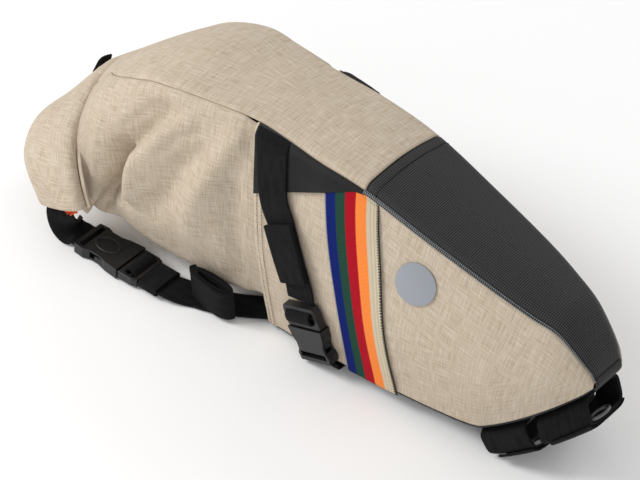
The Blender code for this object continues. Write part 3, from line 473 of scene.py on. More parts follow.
def sleeve_skin(place, way):
    """The sleeve's skin, lower at its back corners and with its end drawn into the roll."""
    walk = abs((way + 3) % 6 - 3)
    droop = ease((place - 4.5) / 1.1) * (1 - ease((place - 5.75) / 0.75)) * ease((1.85 - walk) / 0.5)
    share = walk / 1.5 if walk < 1.5 else (3 - walk) / 1.5
    across = arch_point(share * (1 - END_SLANT))[2]
    across.y *= 1 if (way + 3) % 6 - 3 >= 0 else -1
    pull = (SLEEVE_PULL + CORNER_PULL * ease((share - 0.72) / 0.2)) * ease((place - 5.7) / 1.1)
    return skin_point(SLEEVE, place, way) + across * pull - Vector((0, 0, SLEEVE_DROOP * droop))


def top_surface(first, last):
    """The top of the pack between two places, counted from 0 at the nose over the body and sleeve."""
    def surface(along, around):
        place = first + (last - first) * along
        corner = body_seam(place) if place <= WING_PLACE else seam_way(place - WING_PLACE + 1)
        corner += TOP_GAP - (TOP_GAP - SLEEVE_GAP) * ease(place - WING_PLACE)
        way = corner + (6 - 2 * corner) * around
        if place <= WING_PLACE:
            return skin_point(BODY, place, way)
        return sleeve_skin(place - WING_PLACE + 1, way)
    return surface


def top_depth(along, around, point, edge, end):
    """The top's rolled-in edges and the soft unevenness of stuffed cloth."""
    soft = noise.noise(point * 16 + Vector((3, 0, 0))) * 0.0011 + noise.noise(point * 55) * 0.0002
    return soft * ease(edge / FLAT_EDGE) + rolled_in(edge)


def nose_depth(along, around, point, edge, end):
    """The black panel lies tighter, and turns in at all its seams."""
    return noise.noise(point * 18) * 0.0006 * ease(edge / FLAT_EDGE) + rolled_in(min(edge, end), 0.0008)


def dotted(name, ground, spot, pitch):
    """Black cloth with small raised dots in staggered rows."""
    material, shader, coords, u, v = new_material(name, 0.62, 0.25)
    dots = threads(plus(u, v), maths("SUBTRACT", u, v), pitch)
    tone = plus(dots, times(streaks(coords, 700, 700), 0.35))
    paint(shader, ramp(tone, (0.55, ground), (1.05, spot)))
    bumped(shader, dots, 0.0003, 0.8)
    return material


top = cloth_grid(top_surface(SEAM_PLACE + TOP_GAP, WING_PLACE + SLEEVE_LAST - 1), 200, 90, top_depth)
dress("top_cloth", top, tan_cloth, "tan", "top_panel", wall=CLOTH)
dotted_black = dotted("dotted_black", (0.008, 0.008, 0.008), (0.052, 0.052, 0.053), 0.0032)
nose = cloth_grid(top_surface(0.0, SEAM_PLACE - TOP_GAP), 150, 70, nose_depth)
dress("nose_cloth", nose, dotted_black, "textured", "nose_panel", wall=CLOTH)

# SADDLE AND SEATPOST PANELS
# The flat black underside that goes against the saddle, and the slanted face against the seatpost.
UNDER_HALF = 0.996


def under_surface(first, last):
    """The underside between two places along the body."""
    def surface(along, around):
        return skin_point(BODY, first + (last - first) * along, UNDER_HALF * (2 * around - 1))
    return surface


def flat_depth(along, around, point, edge, end):
    """Flat cloth with its edges turned in."""
    return rolled_in(edge, 0.0005, 0.002)


def coated(name):
    """Smooth coated black cloth with a faint leathery grain."""
    material, shader, coords = new_material(name, 0.6, 0.2)[:3]
    cloud = streaks(coords, 40, 40)
    paint(shader, ramp(cloud, (0.35, (0.008, 0.008, 0.008)), (0.65, (0.014, 0.014, 0.014))))
    bumped(shader, streaks(coords, 1400, 1400), 0.0001, 0.6)
    return material


coated_black = coated("coated_black")
saddle = cloth_grid(under_surface(CORNER_PLACE + TOP_GAP, WING_PLACE), 60, 30, flat_depth)
dress("saddle_cloth", saddle, coated_black, "coated", "saddle_panel", wall=CLOTH)
seatpost = cloth_grid(under_surface(0.0, CORNER_PLACE - TOP_GAP), 60, 30, flat_depth)
dress("seatpost_cloth", seatpost, dotted_black, "textured", "seatpost_panel", wall=CLOTH)

# ROLL-TOP SLEEVE
# Softer tan cloth that comes out from under the wing and is gathered by the roll behind it, so that
# it buckles into a deep crease, a pocket at its lower corner and long ridges fanning from the wing.
TUCK_SPACE = 0.0010
TUCK_TRIM = 0.0050
FOLD_SPAN = SLEEVE_LENGTH / 7
FOLD_GIRTH = BODY_HEIGHT * 0.9
# (depth, width behind and above, width ahead and below, line of places); a minus depth is a ridge
SLEEVE_FOLDS = (
    (0.0135, 0.013, 0.0055,
     ((2.75, 1.90), (3.55, 1.755), (4.22, 1.60), (4.30, 1.50), (4.42, 1.38), (4.95, 1.12))),
    (0.0090, 0.011, 0.0030, ((4.28, 1.62), (4.33, 1.52), (4.42, 1.38), (4.70, 1.22))),
    (-0.0060, 0.006, 0.011, ((2.66, 1.97), (3.26, 1.707), (3.98, 1.487), (4.20, 1.30))),
    (0.0075, 0.011, 0.009, ((1.84, 1.777), (2.54, 1.619), (2.87, 1.452), (3.41, 1.267))),
    (-0.0055, 0.008, 0.010, ((1.20, 1.95), (1.81, 1.733), (2.30, 1.434), (2.45, 1.20))),
    (0.0045, 0.009, 0.006, ((1.22, 1.80), (1.30, 1.416), (1.32, 1.117))),
    (-0.0030, 0.006, 0.006, ((5.00, 1.86), (5.12, 1.72), (5.20, 1.56))),
    (0.0045, 0.008, 0.005, ((4.74, 1.225), (4.08, 1.234))),
    (0.0016, 0.004, 0.003, ((3.40, 1.90), (3.95, 1.80), (4.50, 1.72))),
    (0.0014, 0.004, 0.003, ((2.10, 1.86), (2.60, 1.78), (3.05, 1.66))),
)


def fold_depth(here, fold):
    """How deep one fold is at a spot, steeper on one side of its line than on the other."""
    depth, behind, ahead, line = fold
    points = [Vector((place * FOLD_SPAN, way * FOLD_GIRTH)) for place, way in line]
    nearest = 1.0
    value = 0.0
    length = sum((after - before).length for before, after in zip(points, points[1:]))
    walked = 0.0
    for before, after in zip(points, points[1:]):
        step = after - before
        share = min(max((here - before).dot(step) / step.length_squared, 0.0), 1.0)
        away = here - before - step * share
        if away.length < nearest:
            nearest = away.length
            width = behind if step.x * away.y - step.y * away.x > 0 else ahead
            along = (walked + step.length * share) / length
            fullness = 0.45 + 0.55 * math.sin(math.pi * along) ** 0.5
            value = depth * math.exp(-(nearest / width) ** 2) * fullness
        walked += step.length
    return value


def tucked_share(place):
    """How far the sleeve lies under the side panels: 1 up to the wing, 0 well behind it."""
    return 1 - ease((place - 1.02) / 0.30)


def sleeve_surface(along, around):
    """The sleeve from inside the wing back to the mouth, from far seam to near seam."""
    place = SLEEVE_TUCKED + (SLEEVE_LAST - SLEEVE_TUCKED) * along
    edge = seam_way(place) - SLEEVE_GAP - TUCK_TRIM / BODY_HEIGHT * tucked_share(place)
    return sleeve_skin(place, -edge + 2 * edge * around)


def sleeve_depth(along, around, point, edge, end):
    """The sleeve's tuck, dents and ridges."""
    place = SLEEVE_TUCKED + (SLEEVE_LAST - SLEEVE_TUCKED) * along
    way = abs(seam_way(place) * (2 * around - 1))
    depth = (CLOTH + TUCK_SPACE) * tucked_share(place)
    here = Vector((place * FOLD_SPAN, way * FOLD_GIRTH))
    fade = (1 - tucked_share(place)) * ease((6.3 - place) / 0.9) * ease((1.98 - way) / 0.12)
    depth += sum(fold_depth(here, fold) for fold in SLEEVE_FOLDS) * fade * ease((way - 0.98) / 0.10)
    soft = noise.noise(point * 24) * 0.0012 + noise.noise(point * 70) * 0.0003
    return depth + soft * fade + rolled_in(edge)


sleeve = cloth_grid(sleeve_surface, 180, 240, sleeve_depth)
dress("sleeve_cloth", sleeve, tan_cloth, "tan", "roll_top_sleeve", wall=CLOTH)

# ROLLED MOUTH
# The sleeve's end wound into a flat roll that bends down at both ends, with orange lining inside.
ROLL_DEPTH = 0.066
ROLL_THICKNESS = 0.027
ROLL_TURNS = 1.62
ROLL_OFFSET = 0.006
ROLL_START = math.radians(196)
ROLL_FULLNESS = 1.09
ROLL_FLARE = 0.12
ROLL_TAPER = 0.22
ROLLED_CLOTH = 0.0030
LAYER_SPACE = 0.0008


def roll_frame(share, depth):
    """The roll's frame at a share of its length, with the ends cut on a slant."""
    corner, outward, across = arch_point(share * (1 - END_SLANT * (1 - depth)))
    narrow = 1 - ROLL_TAPER * ease((abs(share) - 0.8) / 0.2)
    return corner + outward * ROLL_OFFSET * ease(abs(share)), outward, across * narrow


def squarish(angle, wide, wide_power, high, high_power):
    """A point of a rounded rectangle by its angle; the smaller a power, the squarer the corners."""
    level = math.copysign(abs(math.cos(angle)) ** wide_power, math.cos(angle)) * wide
    rise = math.copysign(abs(math.sin(angle)) ** high_power, math.sin(angle)) * high
    return level, rise


def roll_surface(along, around):
    """The rolled band: along is across the pack, and around follows the spiral from its outer edge."""
    turned = ROLL_TURNS * around
    pitch = (ROLLED_CLOTH + LAYER_SPACE) * turned
    half_depth = (ROLL_DEPTH - ROLLED_CLOTH) / 2 - pitch
    half_thick = (ROLL_THICKNESS - ROLLED_CLOTH) / 2 - pitch
    angle = ROLL_START + 2 * math.pi * turned
    across_part, outward_part = squarish(angle, half_depth, 0.75, half_thick, 0.85)
    flare = ease((abs(2 * along - 1) - 0.62) / 0.38)
    depth = across_part * (ROLL_FULLNESS + ROLL_FLARE * flare) + ROLL_DEPTH / 2 - 0.0025 - 0.006 * flare
    corner, outward, across = roll_frame(2 * along - 1, depth / ROLL_DEPTH)
    return corner + across * depth + outward * outward_part


def roll_depth(along, around, point, edge, end):
    """Soft dents of the rolled cloth, the same for every layer so that they stay apart."""
    return noise.noise(Vector((point.x * 8, point.y * 26, point.z * 8))) * 0.0009


roll = cloth_grid(roll_surface, 150, 150, roll_depth)
dress("rolled_cloth", roll, tan_cloth, "tan", "rolled_mouth",
      wall=ROLLED_CLOTH * 0.92, offset=0.0, bevel=0.0006)

# COATED TRIANGLES, RIBBONS AND DOTS
# What is sewn flat on each side panel: a coated black triangle at the wing's top corner, a ribbon
# woven in five colours, and a plain reflective disc.
PATCH = 0.0008
PATCH_SPACE = 0.0010
RIBBON_WIDTH = 0.036
DOT_RADIUS = 0.0152
DOT_LIFT = 0.0011
DOT_PLACE = (4.98, 1.748)
RIBBON_REAR_EDGE = ((6.59, 1.866), (6.09, 1.445), (5.89, 1.010))
RIBBON_FRONT_EDGE = ((5.79, 1.953), (5.38, 1.597), (5.03, 1.010))
TRIANGLE_LOWER_EDGE = ((5.98, 1.970), (6.59, 1.874), (7.30, 1.782), (7.965, 1.694))


def lift_at(place, way, lift):
    """The height of a sewn layer, pulled down where the seam takes it in."""
    return lift * (1 - 0.90 * ease((way - body_seam(place) + 0.14) / 0.13))


def above(place, way, lift):
    """A point above the body's skin, or under it with a minus lift."""
    return skin_point(BODY, place, way) + skin_normal(BODY, place, way) * lift


def on_skin(spot_of, lift):
    """A surface that lies a little above the body's skin."""
    def surface(along, around):
        spot = spot_of(along, around)
        return above(*spot, lift_at(*spot, lift))
    return surface


def both_sides(name, build, material, slot, node, **finish):
    """The near piece and its mirror image on the far side."""
    far = build.copy()
    far.transform(Matrix.Scale(-1, 4, (0, 1, 0)))
    bmesh.ops.reverse_faces(far, faces=far.faces)
    for side, half in (("near", build), ("far", far)):
        nodes = [f"{node}_{side}"] if node else []
        dress(f"{name}_{side}", half, material, slot, *nodes, **finish)


def triangle_spot(along, around):
    """The triangle between its lower edge and the top seam."""
    first = TRIANGLE_LOWER_EDGE[0][0]
    place = first + (TRIANGLE_LOWER_EDGE[-1][0] - first) * along
    lower = 1.0
    for one, other in zip(TRIANGLE_LOWER_EDGE, TRIANGLE_LOWER_EDGE[1:]):
        if place <= other[0] + 1e-6:
            lower = one[1] + (other[1] - one[1]) * (place - one[0]) / (other[0] - one[0])
            break
    return place, lower + (body_seam(place) + SLEEVE_GAP - lower) * around


def ribbon_spot(along, around):
    """The ribbon from the top seam down to the saddle side, from its rear edge to its front edge."""
    rear = Vector(spline(RIBBON_REAR_EDGE, 2 * along))
    front = Vector(spline(RIBBON_FRONT_EDGE, 2 * along))
    place, way = rear.lerp(front, around)
    return place + 0.13 * (1 - along) * (1 - around), way + (1.990 - way) * (1 - along) ** 12


def striped(name):
    """Woven stripes across the ribbon, with a pale dotted edge behind and a dark one of painted shadow in
    front.
    """
    material, shader, coords, u, v = new_material(name, 0.85, 0.12)
    share = maths("DIVIDE", v, RIBBON_WIDTH)
    rib = ribs(u, 0.0010)
    # edge marks the front selvedge, dotted along its loops; the near-black stop there is painted shadow of
    # those loops.
    edge = maths("GREATER_THAN", share, 0.955)
    where = plus(plus(share, times(rib, 0.006)), times(times(ribs(u, 0.0022), edge), 0.024))
    stripes = (
        (0.000, (0.300, 0.300, 0.320)), (0.018, (0.004, 0.014, 0.140)), (0.200, (0.016, 0.062, 0.040)),
        (0.380, (0.430, 0.004, 0.016)), (0.575, (0.980, 0.270, 0.055)), (0.770, (0.640, 0.550, 0.400)),
        (0.840, (0.470, 0.385, 0.260)), (0.852, (0.660, 0.570, 0.420)), (0.905, (0.470, 0.385, 0.260)),
        # the last stop, near black, is painted shadow along the front selvedge
        (0.917, (0.640, 0.550, 0.400)), (0.962, (0.040, 0.036, 0.028)),
    )
    colour = ramp(where, *stripes)
    colour.color_ramp.interpolation = "CONSTANT"
    fuzz = streaks(coords, 900, 2400)
    shade = node_in(shader.id_data, "ShaderNodeMixRGB", Fac=times(fuzz, 0.35), Color1=colour.outputs[0])
    shade.blend_type = "MULTIPLY"
    shade.inputs["Color2"].default_value = (0.55, 0.55, 0.55, 1)
    paint(shader, shade)
    bumped(shader, plus(rib, fuzz), 0.0002, 0.7)
    return material


triangle = cloth_grid(on_skin(triangle_spot, PATCH_SPACE + 2 * PATCH), 60, 30)
both_sides("coated_patch", triangle, coated_black, "coated", "coated_triangle", wall=PATCH, bevel=0.0002)
ribbon = cloth_grid(on_skin(ribbon_spot, PATCH_SPACE + PATCH), 110, 60, width=RIBBON_WIDTH)
both_sides("ribbon", ribbon, striped("woven_stripes"), "ribbon", "striped_ribbon", wall=PATCH)


def hug(place, around, reach):
    """The place on the body's skin that lies a short way off another, the way given in metres."""
    along = (skin_point(BODY, place + 0.05, around) - skin_point(BODY, place - 0.05, around)) / 0.1
    turn = (skin_point(BODY, place, around + 0.02) - skin_point(BODY, place, around - 0.02)) / 0.04
    a = along.dot(along)
    b = along.dot(turn)
    c = turn.dot(turn)
    u = along.dot(reach)
    v = turn.dot(reach)
    size = a * c - b * b
    return place + (c * u - b * v) / size, around + (a * v - b * u) / size


dot_normal = skin_normal(BODY, *DOT_PLACE)
dot_level = dot_normal.cross(Vector((0, 0, 1))).normalized()
dot_rise = dot_level.cross(dot_normal).normalized()
dot = bmesh.new()
bmesh.ops.create_circle(dot, cap_ends=True, segments=64, radius=DOT_RADIUS)
bmesh.ops.inset_region(dot, faces=dot.faces, thickness=DOT_RADIUS * 0.35)
bmesh.ops.triangulate(dot, faces=[face for face in dot.faces if len(face.verts) > 4])
for vertex in dot.verts:
    spot = hug(*DOT_PLACE, dot_level * vertex.co.x + dot_rise * vertex.co.y)
    vertex.co = above(*spot, DOT_LIFT)
dot.normal_update()
if sum(face.normal.y for face in dot.faces) > 0:
    bmesh.ops.reverse_faces(dot, faces=dot.faces)
reflector, reflector_shader = new_material("reflective_film", 0.38, 0.5)[:2]
reflector_shader.inputs["Base Color"].default_value = (0.285, 0.300, 0.335, 1)
reflector_shader.inputs["Metallic"].default_value = 0.15
both_sides("reflector", dot, reflector, "reflector", "reflective_dot", wall=PATCH, bevel=0.0002)

# SIDE STRAPS
# Black 25 mm webbing from the seam at the wing down each side panel to the buckle, and its folded
# free end, which lies on it.
WEBBING_WIDTH = 0.025
WEBBING = 0.0016
SIDE_STRAP_LINE = ((7.66, 2.066), (7.55, 1.748), (7.32, 1.617), (6.97, 1.400))
SIDE_BUCKLE_LINE = ((6.86, 1.270), (6.45, 1.000))
SIDE_BUCKLE_LENGTH = 0.029
LADDER_LENGTH = 0.018
BUCKLE_THICKNESS = 0.0095
CLEARANCE = 0.0003
STRAP_GAP = 0.0009


def webbing(name):
    """Black woven webbing: fine ribs across the width and a slightly grey, worn bloom."""
    material, shader, coords, u, v = new_material(name, 0.8, 0.12, 0.02)
    height = plus(ribs(u, 0.0012), times(ribs(v, 0.0009), 0.4))
    tone = plus(streaks(coords, 60, 400), times(height, 0.06))
    paint(shader, ramp(tone, (0.30, (0.003, 0.003, 0.004)), (0.75, (0.011, 0.011, 0.012))))
    bumped(shader, height, 0.00012, 0.8)
    return material


black_webbing = webbing("black_webbing")


def strip_surface(line, width, lift):
    """A strap that lies on the body along a line of places."""
    def surface(along, around):
        where = (len(line) - 1) * along
        place, way = spline(line, where)
        ahead = spline(line, min(where + 0.05, len(line) - 1))
        behind = spline(line, max(where - 0.05, 0))
        forward = skin_point(BODY, *ahead) - skin_point(BODY, *behind)
        across = forward.cross(skin_normal(BODY, place, way)).normalized()
        seam = (skin_point(BODY, place - 0.05, way) - skin_point(BODY, place, way)).normalized()
        taken = (1 - ease(along / 0.22)) * ease((line[0][1] - 2.0) / 0.05)
        across = across.lerp(seam * math.copysign(1.1, across.dot(seam)), taken)
        spot = (place, way)
        for _ in range(5):
            spot = hug(*spot, across * width * (around - 0.5) / 5)
        spot = (spot[0], min(spot[1], body_seam(spot[0]) - SIDE_GAP))
        return above(*spot, lift_at(*spot, lift))
    return surface


lower = skin_point(BODY, *SIDE_BUCKLE_LINE[1])
upper = skin_point(BODY, *SIDE_BUCKLE_LINE[0])
buckle_face = skin_normal(BODY, SIDE_BUCKLE_LINE[0][0], 1.2)
buckle_way = (upper - lower).normalized()
strap_end = SIDE_BUCKLE_LINE[1]
for _ in range(12):
    strap_end = hug(*strap_end, buckle_way * (SIDE_BUCKLE_LENGTH + LADDER_LENGTH + STRAP_GAP * 2) / 12)
strap_lift = 2 * PATCH_SPACE + PATCH
strap_surface = strip_surface(SIDE_STRAP_LINE + (strap_end,), WEBBING_WIDTH, strap_lift + WEBBING)
strap = cloth_grid(strap_surface, 90, 8)
both_sides("side_webbing", strap, black_webbing, "webbing", "side_strap", wall=WEBBING, bevel=0.0004)
tail_top = Vector(SIDE_STRAP_LINE[2]).lerp(Vector(SIDE_STRAP_LINE[1]), 0.15)
tail_middle = tail_top.lerp(Vector(SIDE_STRAP_LINE[3]), 0.5)
tail_line = (tuple(tail_top), tuple(tail_middle), SIDE_STRAP_LINE[3])
tail_lift = strap_lift + WEBBING + PATCH_SPACE + 2 * WEBBING
tail = cloth_grid(strip_surface(tail_line, WEBBING_WIDTH * 1.04, tail_lift), 50, 8)
both_sides("folded_tail", tail, black_webbing, "webbing", "strap_tail", wall=2 * WEBBING, bevel=0.0009)

# BUCKLES
# Side-release buckles in matt black plastic. The solids already have their slots, waist and prongs,
# so they stay, with softened edges.


def moulded(name, colour, roughness, specular, grain_scale):
    """Moulded plastic with a fine grain in its surface."""
    material, shader, coords = new_material(name, roughness, specular)[:3]
    shader.inputs["Base Color"].default_value = (*colour, 1)
    place = coords.outputs["Object"]
    grain = node_in(shader.id_data, "ShaderNodeTexNoise", Vector=place, Scale=grain_scale, Detail=2.0)
    bumped(shader, grain.outputs[0], 0.00006, 0.5)
    return material


plastic = moulded("moulded_black", (0.008, 0.008, 0.009), 0.40, 0.45, 1800.0)
for node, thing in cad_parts.items():
    if "buckle" in node:
        thing.data.materials.clear()
        thing.data.materials.append(plastic)
        weld = thing.modifiers.new("weld", "WELD")
        weld.merge_threshold = 0.00002
        soften = thing.modifiers.new("edge", "BEVEL")
        soften.width = 0.0006
        soften.segments = 2
        soften.limit_method = "ANGLE"
        soften.angle_limit = math.radians(35)

# STRAPS
# The rest of the webbing: under the saddle panel, round the seatpost, out of the roll's ends, through
# the rear buckles to the wing, and the bridge that a light clips to.
BUCKLE_LENGTH = 0.044
GRIP_WIDTH = 0.038
GRIP_THICKNESS = 0.0030
GRIP_DEPTH = 0.024
GRIP_SPACING = 0.050
GRIP_START = 0.0015
GRIP_GAP = 0.0005
GRIP_LEAN = 0.34
FLAP_SHARE = 0.8
FLAP_SPACE = 0.0027
FLOOR_SPACE = 0.0006
STRAP_RISE = 0.0018
KEEPER_LENGTH = 0.017
ELASTIC = 0.0012
COIL_LENGTH = 0.042
COIL_DEPTH = 0.015
COIL_TURNS = 2.2
COIL_START = math.radians(150)
COIL_FULLNESS = 0.35
BRIDGE_SPAN = 0.018
BRIDGE_WIDTH = 0.012
BRIDGE_BACK = 0.016
REST_SLOPE = -0.09159


def band(stops, width, count=80, across_count=8):
    """Webbing swept through stops; each stop holds a centre and the way across the width."""
    rows = [(*centre, *across) for centre, across in stops]

    def surface(along, around):
        where = (len(rows) - 1) * along
        here = spline(rows, where)
        ahead = Vector(spline(rows, min(where + 0.05, len(rows) - 1))[:3])
        behind = Vector(spline(rows, max(where - 0.05, 0))[:3])
        forward = (ahead - behind).normalized()
        across = Vector(here[3:])
        across = (across - forward * across.dot(forward)).normalized()
        return Vector(here[:3]) + across * width * (around - 0.5)

    return cloth_grid(surface, count, across_count)


def webbing_pair(name, build, node, wall=WEBBING):
    """A piece of webbing on both sides of the pack."""
    both_sides(name, build, black_webbing, "webbing", node, wall=wall, offset=0.0, bevel=0.0003)


socket_origin = lower + buckle_face * (BUCKLE_THICKNESS / 2 + PATCH_SPACE) + buckle_way * 0.0016
buckle_across = buckle_way.cross(buckle_face).normalized()
bar = socket_origin - buckle_way * (WEBBING / 2 + CLEARANCE * 7)
under = -PATCH_SPACE - WEBBING / 2
level = Vector((1, 0, 0))
base_strap = band((
    (bar, buckle_across),
    (Vector((bar.x, bar.y + 0.0035, bar.z - 0.0008)), (buckle_across + level * 2).normalized()),
    (Vector((bar.x, bar.y + 0.0070, under - 0.0008)), level),
    (Vector((bar.x, bar.y + 0.024, under)), level),
    (Vector((bar.x, bar.y + 0.036, under)), level),
), WEBBING_WIDTH)
webbing_pair("base_webbing", base_strap, "side_strap_base")

face_way = skin_point(BODY, 1.0, 0).normalized()
face_out = Vector((face_way.z, 0, -face_way.x))


def face_place(distance):
    """The place on the body whose bottom centre lies a given distance up the slanted face."""
    low = CORNER_PLACE * max(0.0, 1 - distance / skin_point(BODY, 0, 0).dot(face_way))
    for _ in range(12):
        ahead = skin_point(BODY, max(low - 0.05, 0), 0)
        here = skin_point(BODY, low, 0)
        low += (here.dot(face_way) - distance) / max((ahead - here).dot(face_way) / 0.05, 0.005)
    return low


def grip_surface(start, width, first, last, grow, lean):
    """A seatpost strap: a rounded loop that hangs from the slanted face and leans to its foot."""
    def surface(along, around):
        low = face_place(start + width * around)
        base = skin_point(BODY, low, 0)
        half = -skin_point(BODY, low, 1.0).y - GRIP_THICKNESS / 2 + grow
        deep = (GRIP_DEPTH - GRIP_THICKNESS) / 2 + grow
        wide, away = squarish(2 * math.pi * (first + (last - first) * along), half, 0.35, deep, 0.45)
        hang = (face_out - face_way * lean) * (away + GRIP_DEPTH / 2 + GRIP_GAP)
        return base + hang + Vector((0, wide, 0))
    return surface


for index, label in enumerate(("lower", "upper")):
    start = GRIP_START + index * GRIP_SPACING
    lean = GRIP_LEAN * index
    flap_start = start + GRIP_WIDTH * (1 - FLAP_SHARE)
    flap_way = grip_surface(flap_start, GRIP_WIDTH * FLAP_SHARE, 0.09, 0.43, FLAP_SPACE, lean)
    dress(f"grip_flap_{label}", cloth_grid(flap_way, 90, 12), black_webbing, "webbing",
          wall=WEBBING, offset=0.0, bevel=0.0004)
    grip = cloth_grid(grip_surface(start, GRIP_WIDTH, 0, 1, 0.0, lean), 240, 12, closed=True)
    dress(f"grip_{label}", grip, black_webbing, "webbing", f"seatpost_strap_{label}",
          wall=GRIP_THICKNESS * 0.8, offset=0.0, bevel=0.0006)

start = Vector((station_x(-2.0) + 0.041, -0.083, 0))
rear_way = Vector((1, 0.06, REST_SLOPE)).normalized()
floor_height = (start.x + BASE_LENGTH) * REST_SLOPE + FLOOR_SPACE
origin = Vector((start.x, start.y, floor_height + BUCKLE_THICKNESS / 2))
side_way = Vector((-0.06, 1, 0))
up_way = rear_way.cross(side_way).normalized()
rear_bar = origin - rear_way * STRAP_GAP
stops = []
for share in (0.82, 0.92, 1.0):
    corner, outward, across = roll_frame(share, 0.55)
    stops.append((corner + across * ROLL_DEPTH * 0.55 - outward * 0.0014, -across))
stops += [
    (stops[-1][0] + Vector((0.003, -0.002, -0.013)), Vector((1, 0.3, 0.05))),
    (rear_bar + Vector((-0.012, -0.004, 0.0042)), Vector((0.3, 1, 0.02))),
    (rear_bar - rear_way * 0.005, side_way),
    (rear_bar, side_way),
]
webbing_pair("roll_webbing", band(stops, WEBBING_WIDTH, 140), "roll_strap")


def floor_point(ahead, y):
    """A point of the strap's path over the floor, at a distance along the pack from the wing."""
    return Vector((ahead - BASE_LENGTH, y, ahead * REST_SLOPE + STRAP_RISE))


strap_start = origin + rear_way * (BUCKLE_LENGTH + LADDER_LENGTH + STRAP_GAP)
flat = Vector((-0.2, 1, 0))
inside = CLOTH + CLEARANCE * 2 + WEBBING / 2
rear_stops = (
    (strap_start, side_way),
    (strap_start + rear_way * KEEPER_LENGTH * 0.6, side_way),
    (strap_start + rear_way * KEEPER_LENGTH * 1.35, side_way),
    (floor_point(-0.060, -0.0690), flat),
    (floor_point(-0.047, -0.0640), flat),
    (floor_point(-0.030, -0.0540), flat),
    (Vector((-BASE_LENGTH - 0.014, -0.0430, inside + 0.0010)), flat),
    (Vector((-BASE_LENGTH - 0.002, -0.0350, inside + 0.0012)), flat),
    (Vector((-BASE_LENGTH + 0.010, -0.0300, inside + 0.0008)), flat),
)
webbing_pair("rear_webbing", band(rear_stops, WEBBING_WIDTH, 120), "rear_strap")


def keeper_surface(along, around):
    """The elastic band that holds the strap's tail, just behind the plug."""
    wide, high = squarish(2 * math.pi * along, WEBBING_WIDTH / 2 + 0.0015, 0.4, WEBBING + 0.0018, 0.6)
    centre = strap_start + rear_way * (STRAP_GAP + KEEPER_LENGTH * around)
    return centre + side_way * wide + up_way * high


keeper = cloth_grid(keeper_surface, 160, 12, closed=True)
webbing_pair("elastic_keeper", keeper, "strap_keeper", ELASTIC)


def coil_surface(along, around):
    """The strap's spare end, rolled up and standing on its edge, fuller at its front end."""
    turned = COIL_TURNS * along
    pitch = (WEBBING + LAYER_SPACE) * turned
    angle = COIL_START + 2 * math.pi * turned
    ahead, aside = squarish(angle, COIL_LENGTH / 2 - pitch, 0.8, COIL_DEPTH / 2 - pitch, 1)
    if aside < 0:
        aside *= 1 + COIL_FULLNESS * ahead / (COIL_LENGTH / 2)
    centre = strap_start + rear_way * KEEPER_LENGTH + Vector((COIL_LENGTH / 2 + 0.018, 0.010, 0))
    height = (centre.x + ahead + BASE_LENGTH) * REST_SLOPE + STRAP_RISE + WEBBING / 2 + FLOOR_SPACE * 2
    return Vector((centre.x + ahead, centre.y + aside - 0.002 * around, height + WEBBING_WIDTH * around))


coil = cloth_grid(coil_surface, 220, 10)
webbing_pair("coiled_tail", coil, "rolled_tail")

stops = []
for share in (-1, -0.6, 0, 0.6, 1):
    corner, outward, across = roll_frame(share * BRIDGE_SPAN / ROLL_LENGTH, 0.2)
    rise = ROLL_THICKNESS / 2 - 0.0010 + 0.0015 * (1 - share * share)
    stops.append((corner + across * BRIDGE_BACK + outward * rise, across))
dress("light_bridge", band(stops, BRIDGE_WIDTH, 40), black_webbing, "webbing", "light_loop",
      wall=WEBBING, offset=0.0, bevel=0.0003)

# NOSE BINDING
# Black tape sewn half-round over the narrow end of the nose.
upper_corner = skin_point(BODY, 0.0, 2.0)
lower_corner = skin_point(BODY, 0.0, 1.0)
front = max(upper_corner.x, lower_corner.x) + 0.0011
middle_height = (upper_corner.z + lower_corner.z) / 2
TAPE_WIDTH = 0.0095
TAPE_ROUND = 0.0016
TAPE_WALL = 0.0012


def tape_surface(along, around):
    """Half-round tape across the nose's end, turned in at its two ends."""
    round_off = 1 - math.sin(math.pi * around)
    share = 1.96 * along - 0.98
    end = ease((abs(share) - 0.90) / 0.08)
    rise = middle_height + TAPE_WIDTH * (around - 0.5) * (1 - 0.25 * end)
    return Vector((front - TAPE_ROUND * round_off - 0.0010 * end, upper_corner.y * share, rise))


nose_tape = cloth_grid(tape_surface, 90, 14)
dress("nose_tape", nose_tape, dotted_black, "binding", "nose_binding",
      wall=TAPE_WALL, offset=0.0, bevel=0.0004)

# LINING
# Thin orange cloth inside the sleeve, of which a crumpled edge shows at each end of the roll.
LINING_START = 0.965
LINING_LENGTH = 0.075
LINING_DEPTH = 0.12
LINING_WIDTH = 0.24


def lining_surface(along, around):
    """A crumpled edge of lining that peeps out beside the webbing at the roll's end."""
    depth = LINING_DEPTH + LINING_WIDTH * around
    corner, outward, across = roll_frame(LINING_START + LINING_LENGTH * along, depth)
    crumple = noise.noise(Vector((along * 5, around * 6, 1))) * 0.004
    crumple += math.sin(around * 14 + along * 5) * 0.0018
    return corner + across * ROLL_DEPTH * depth + outward * (crumple + 0.001)


def two_tone(name, roughness, specular, scale, dark, light, detail=3.0, where="UV"):
    """A material that wavers between two colours, with its shader and the cloth's directions."""
    material, shader, coords, u, v = new_material(name, roughness, specular)
    place = coords.outputs[where]
    waver = node_in(shader.id_data, "ShaderNodeTexNoise", Vector=place, Scale=scale, Detail=detail)
    paint(shader, ramp(waver.outputs[0], (0.3, dark), (0.7, light)))
    return material, shader, u, v


lining_look, lining_shader, u, v = two_tone(
    "orange_lining", 0.6, 0.3, 300.0, (0.62, 0.07, 0.02), (0.95, 0.16, 0.05))
bumped(lining_shader, threads(u, v, 0.0008), 0.0001, 0.6)
lining = cloth_grid(lining_surface, 50, 70)
both_sides("lining_edge", lining, lining_look, "lining", "mouth_lining", wall=PATCH, offset=0.0)

# SEATPOST RINGS
# A grey plastic ring on each seatpost strap, which the strap's end runs through.
RING_LENGTH = 0.017
RING_BAR = 0.0014


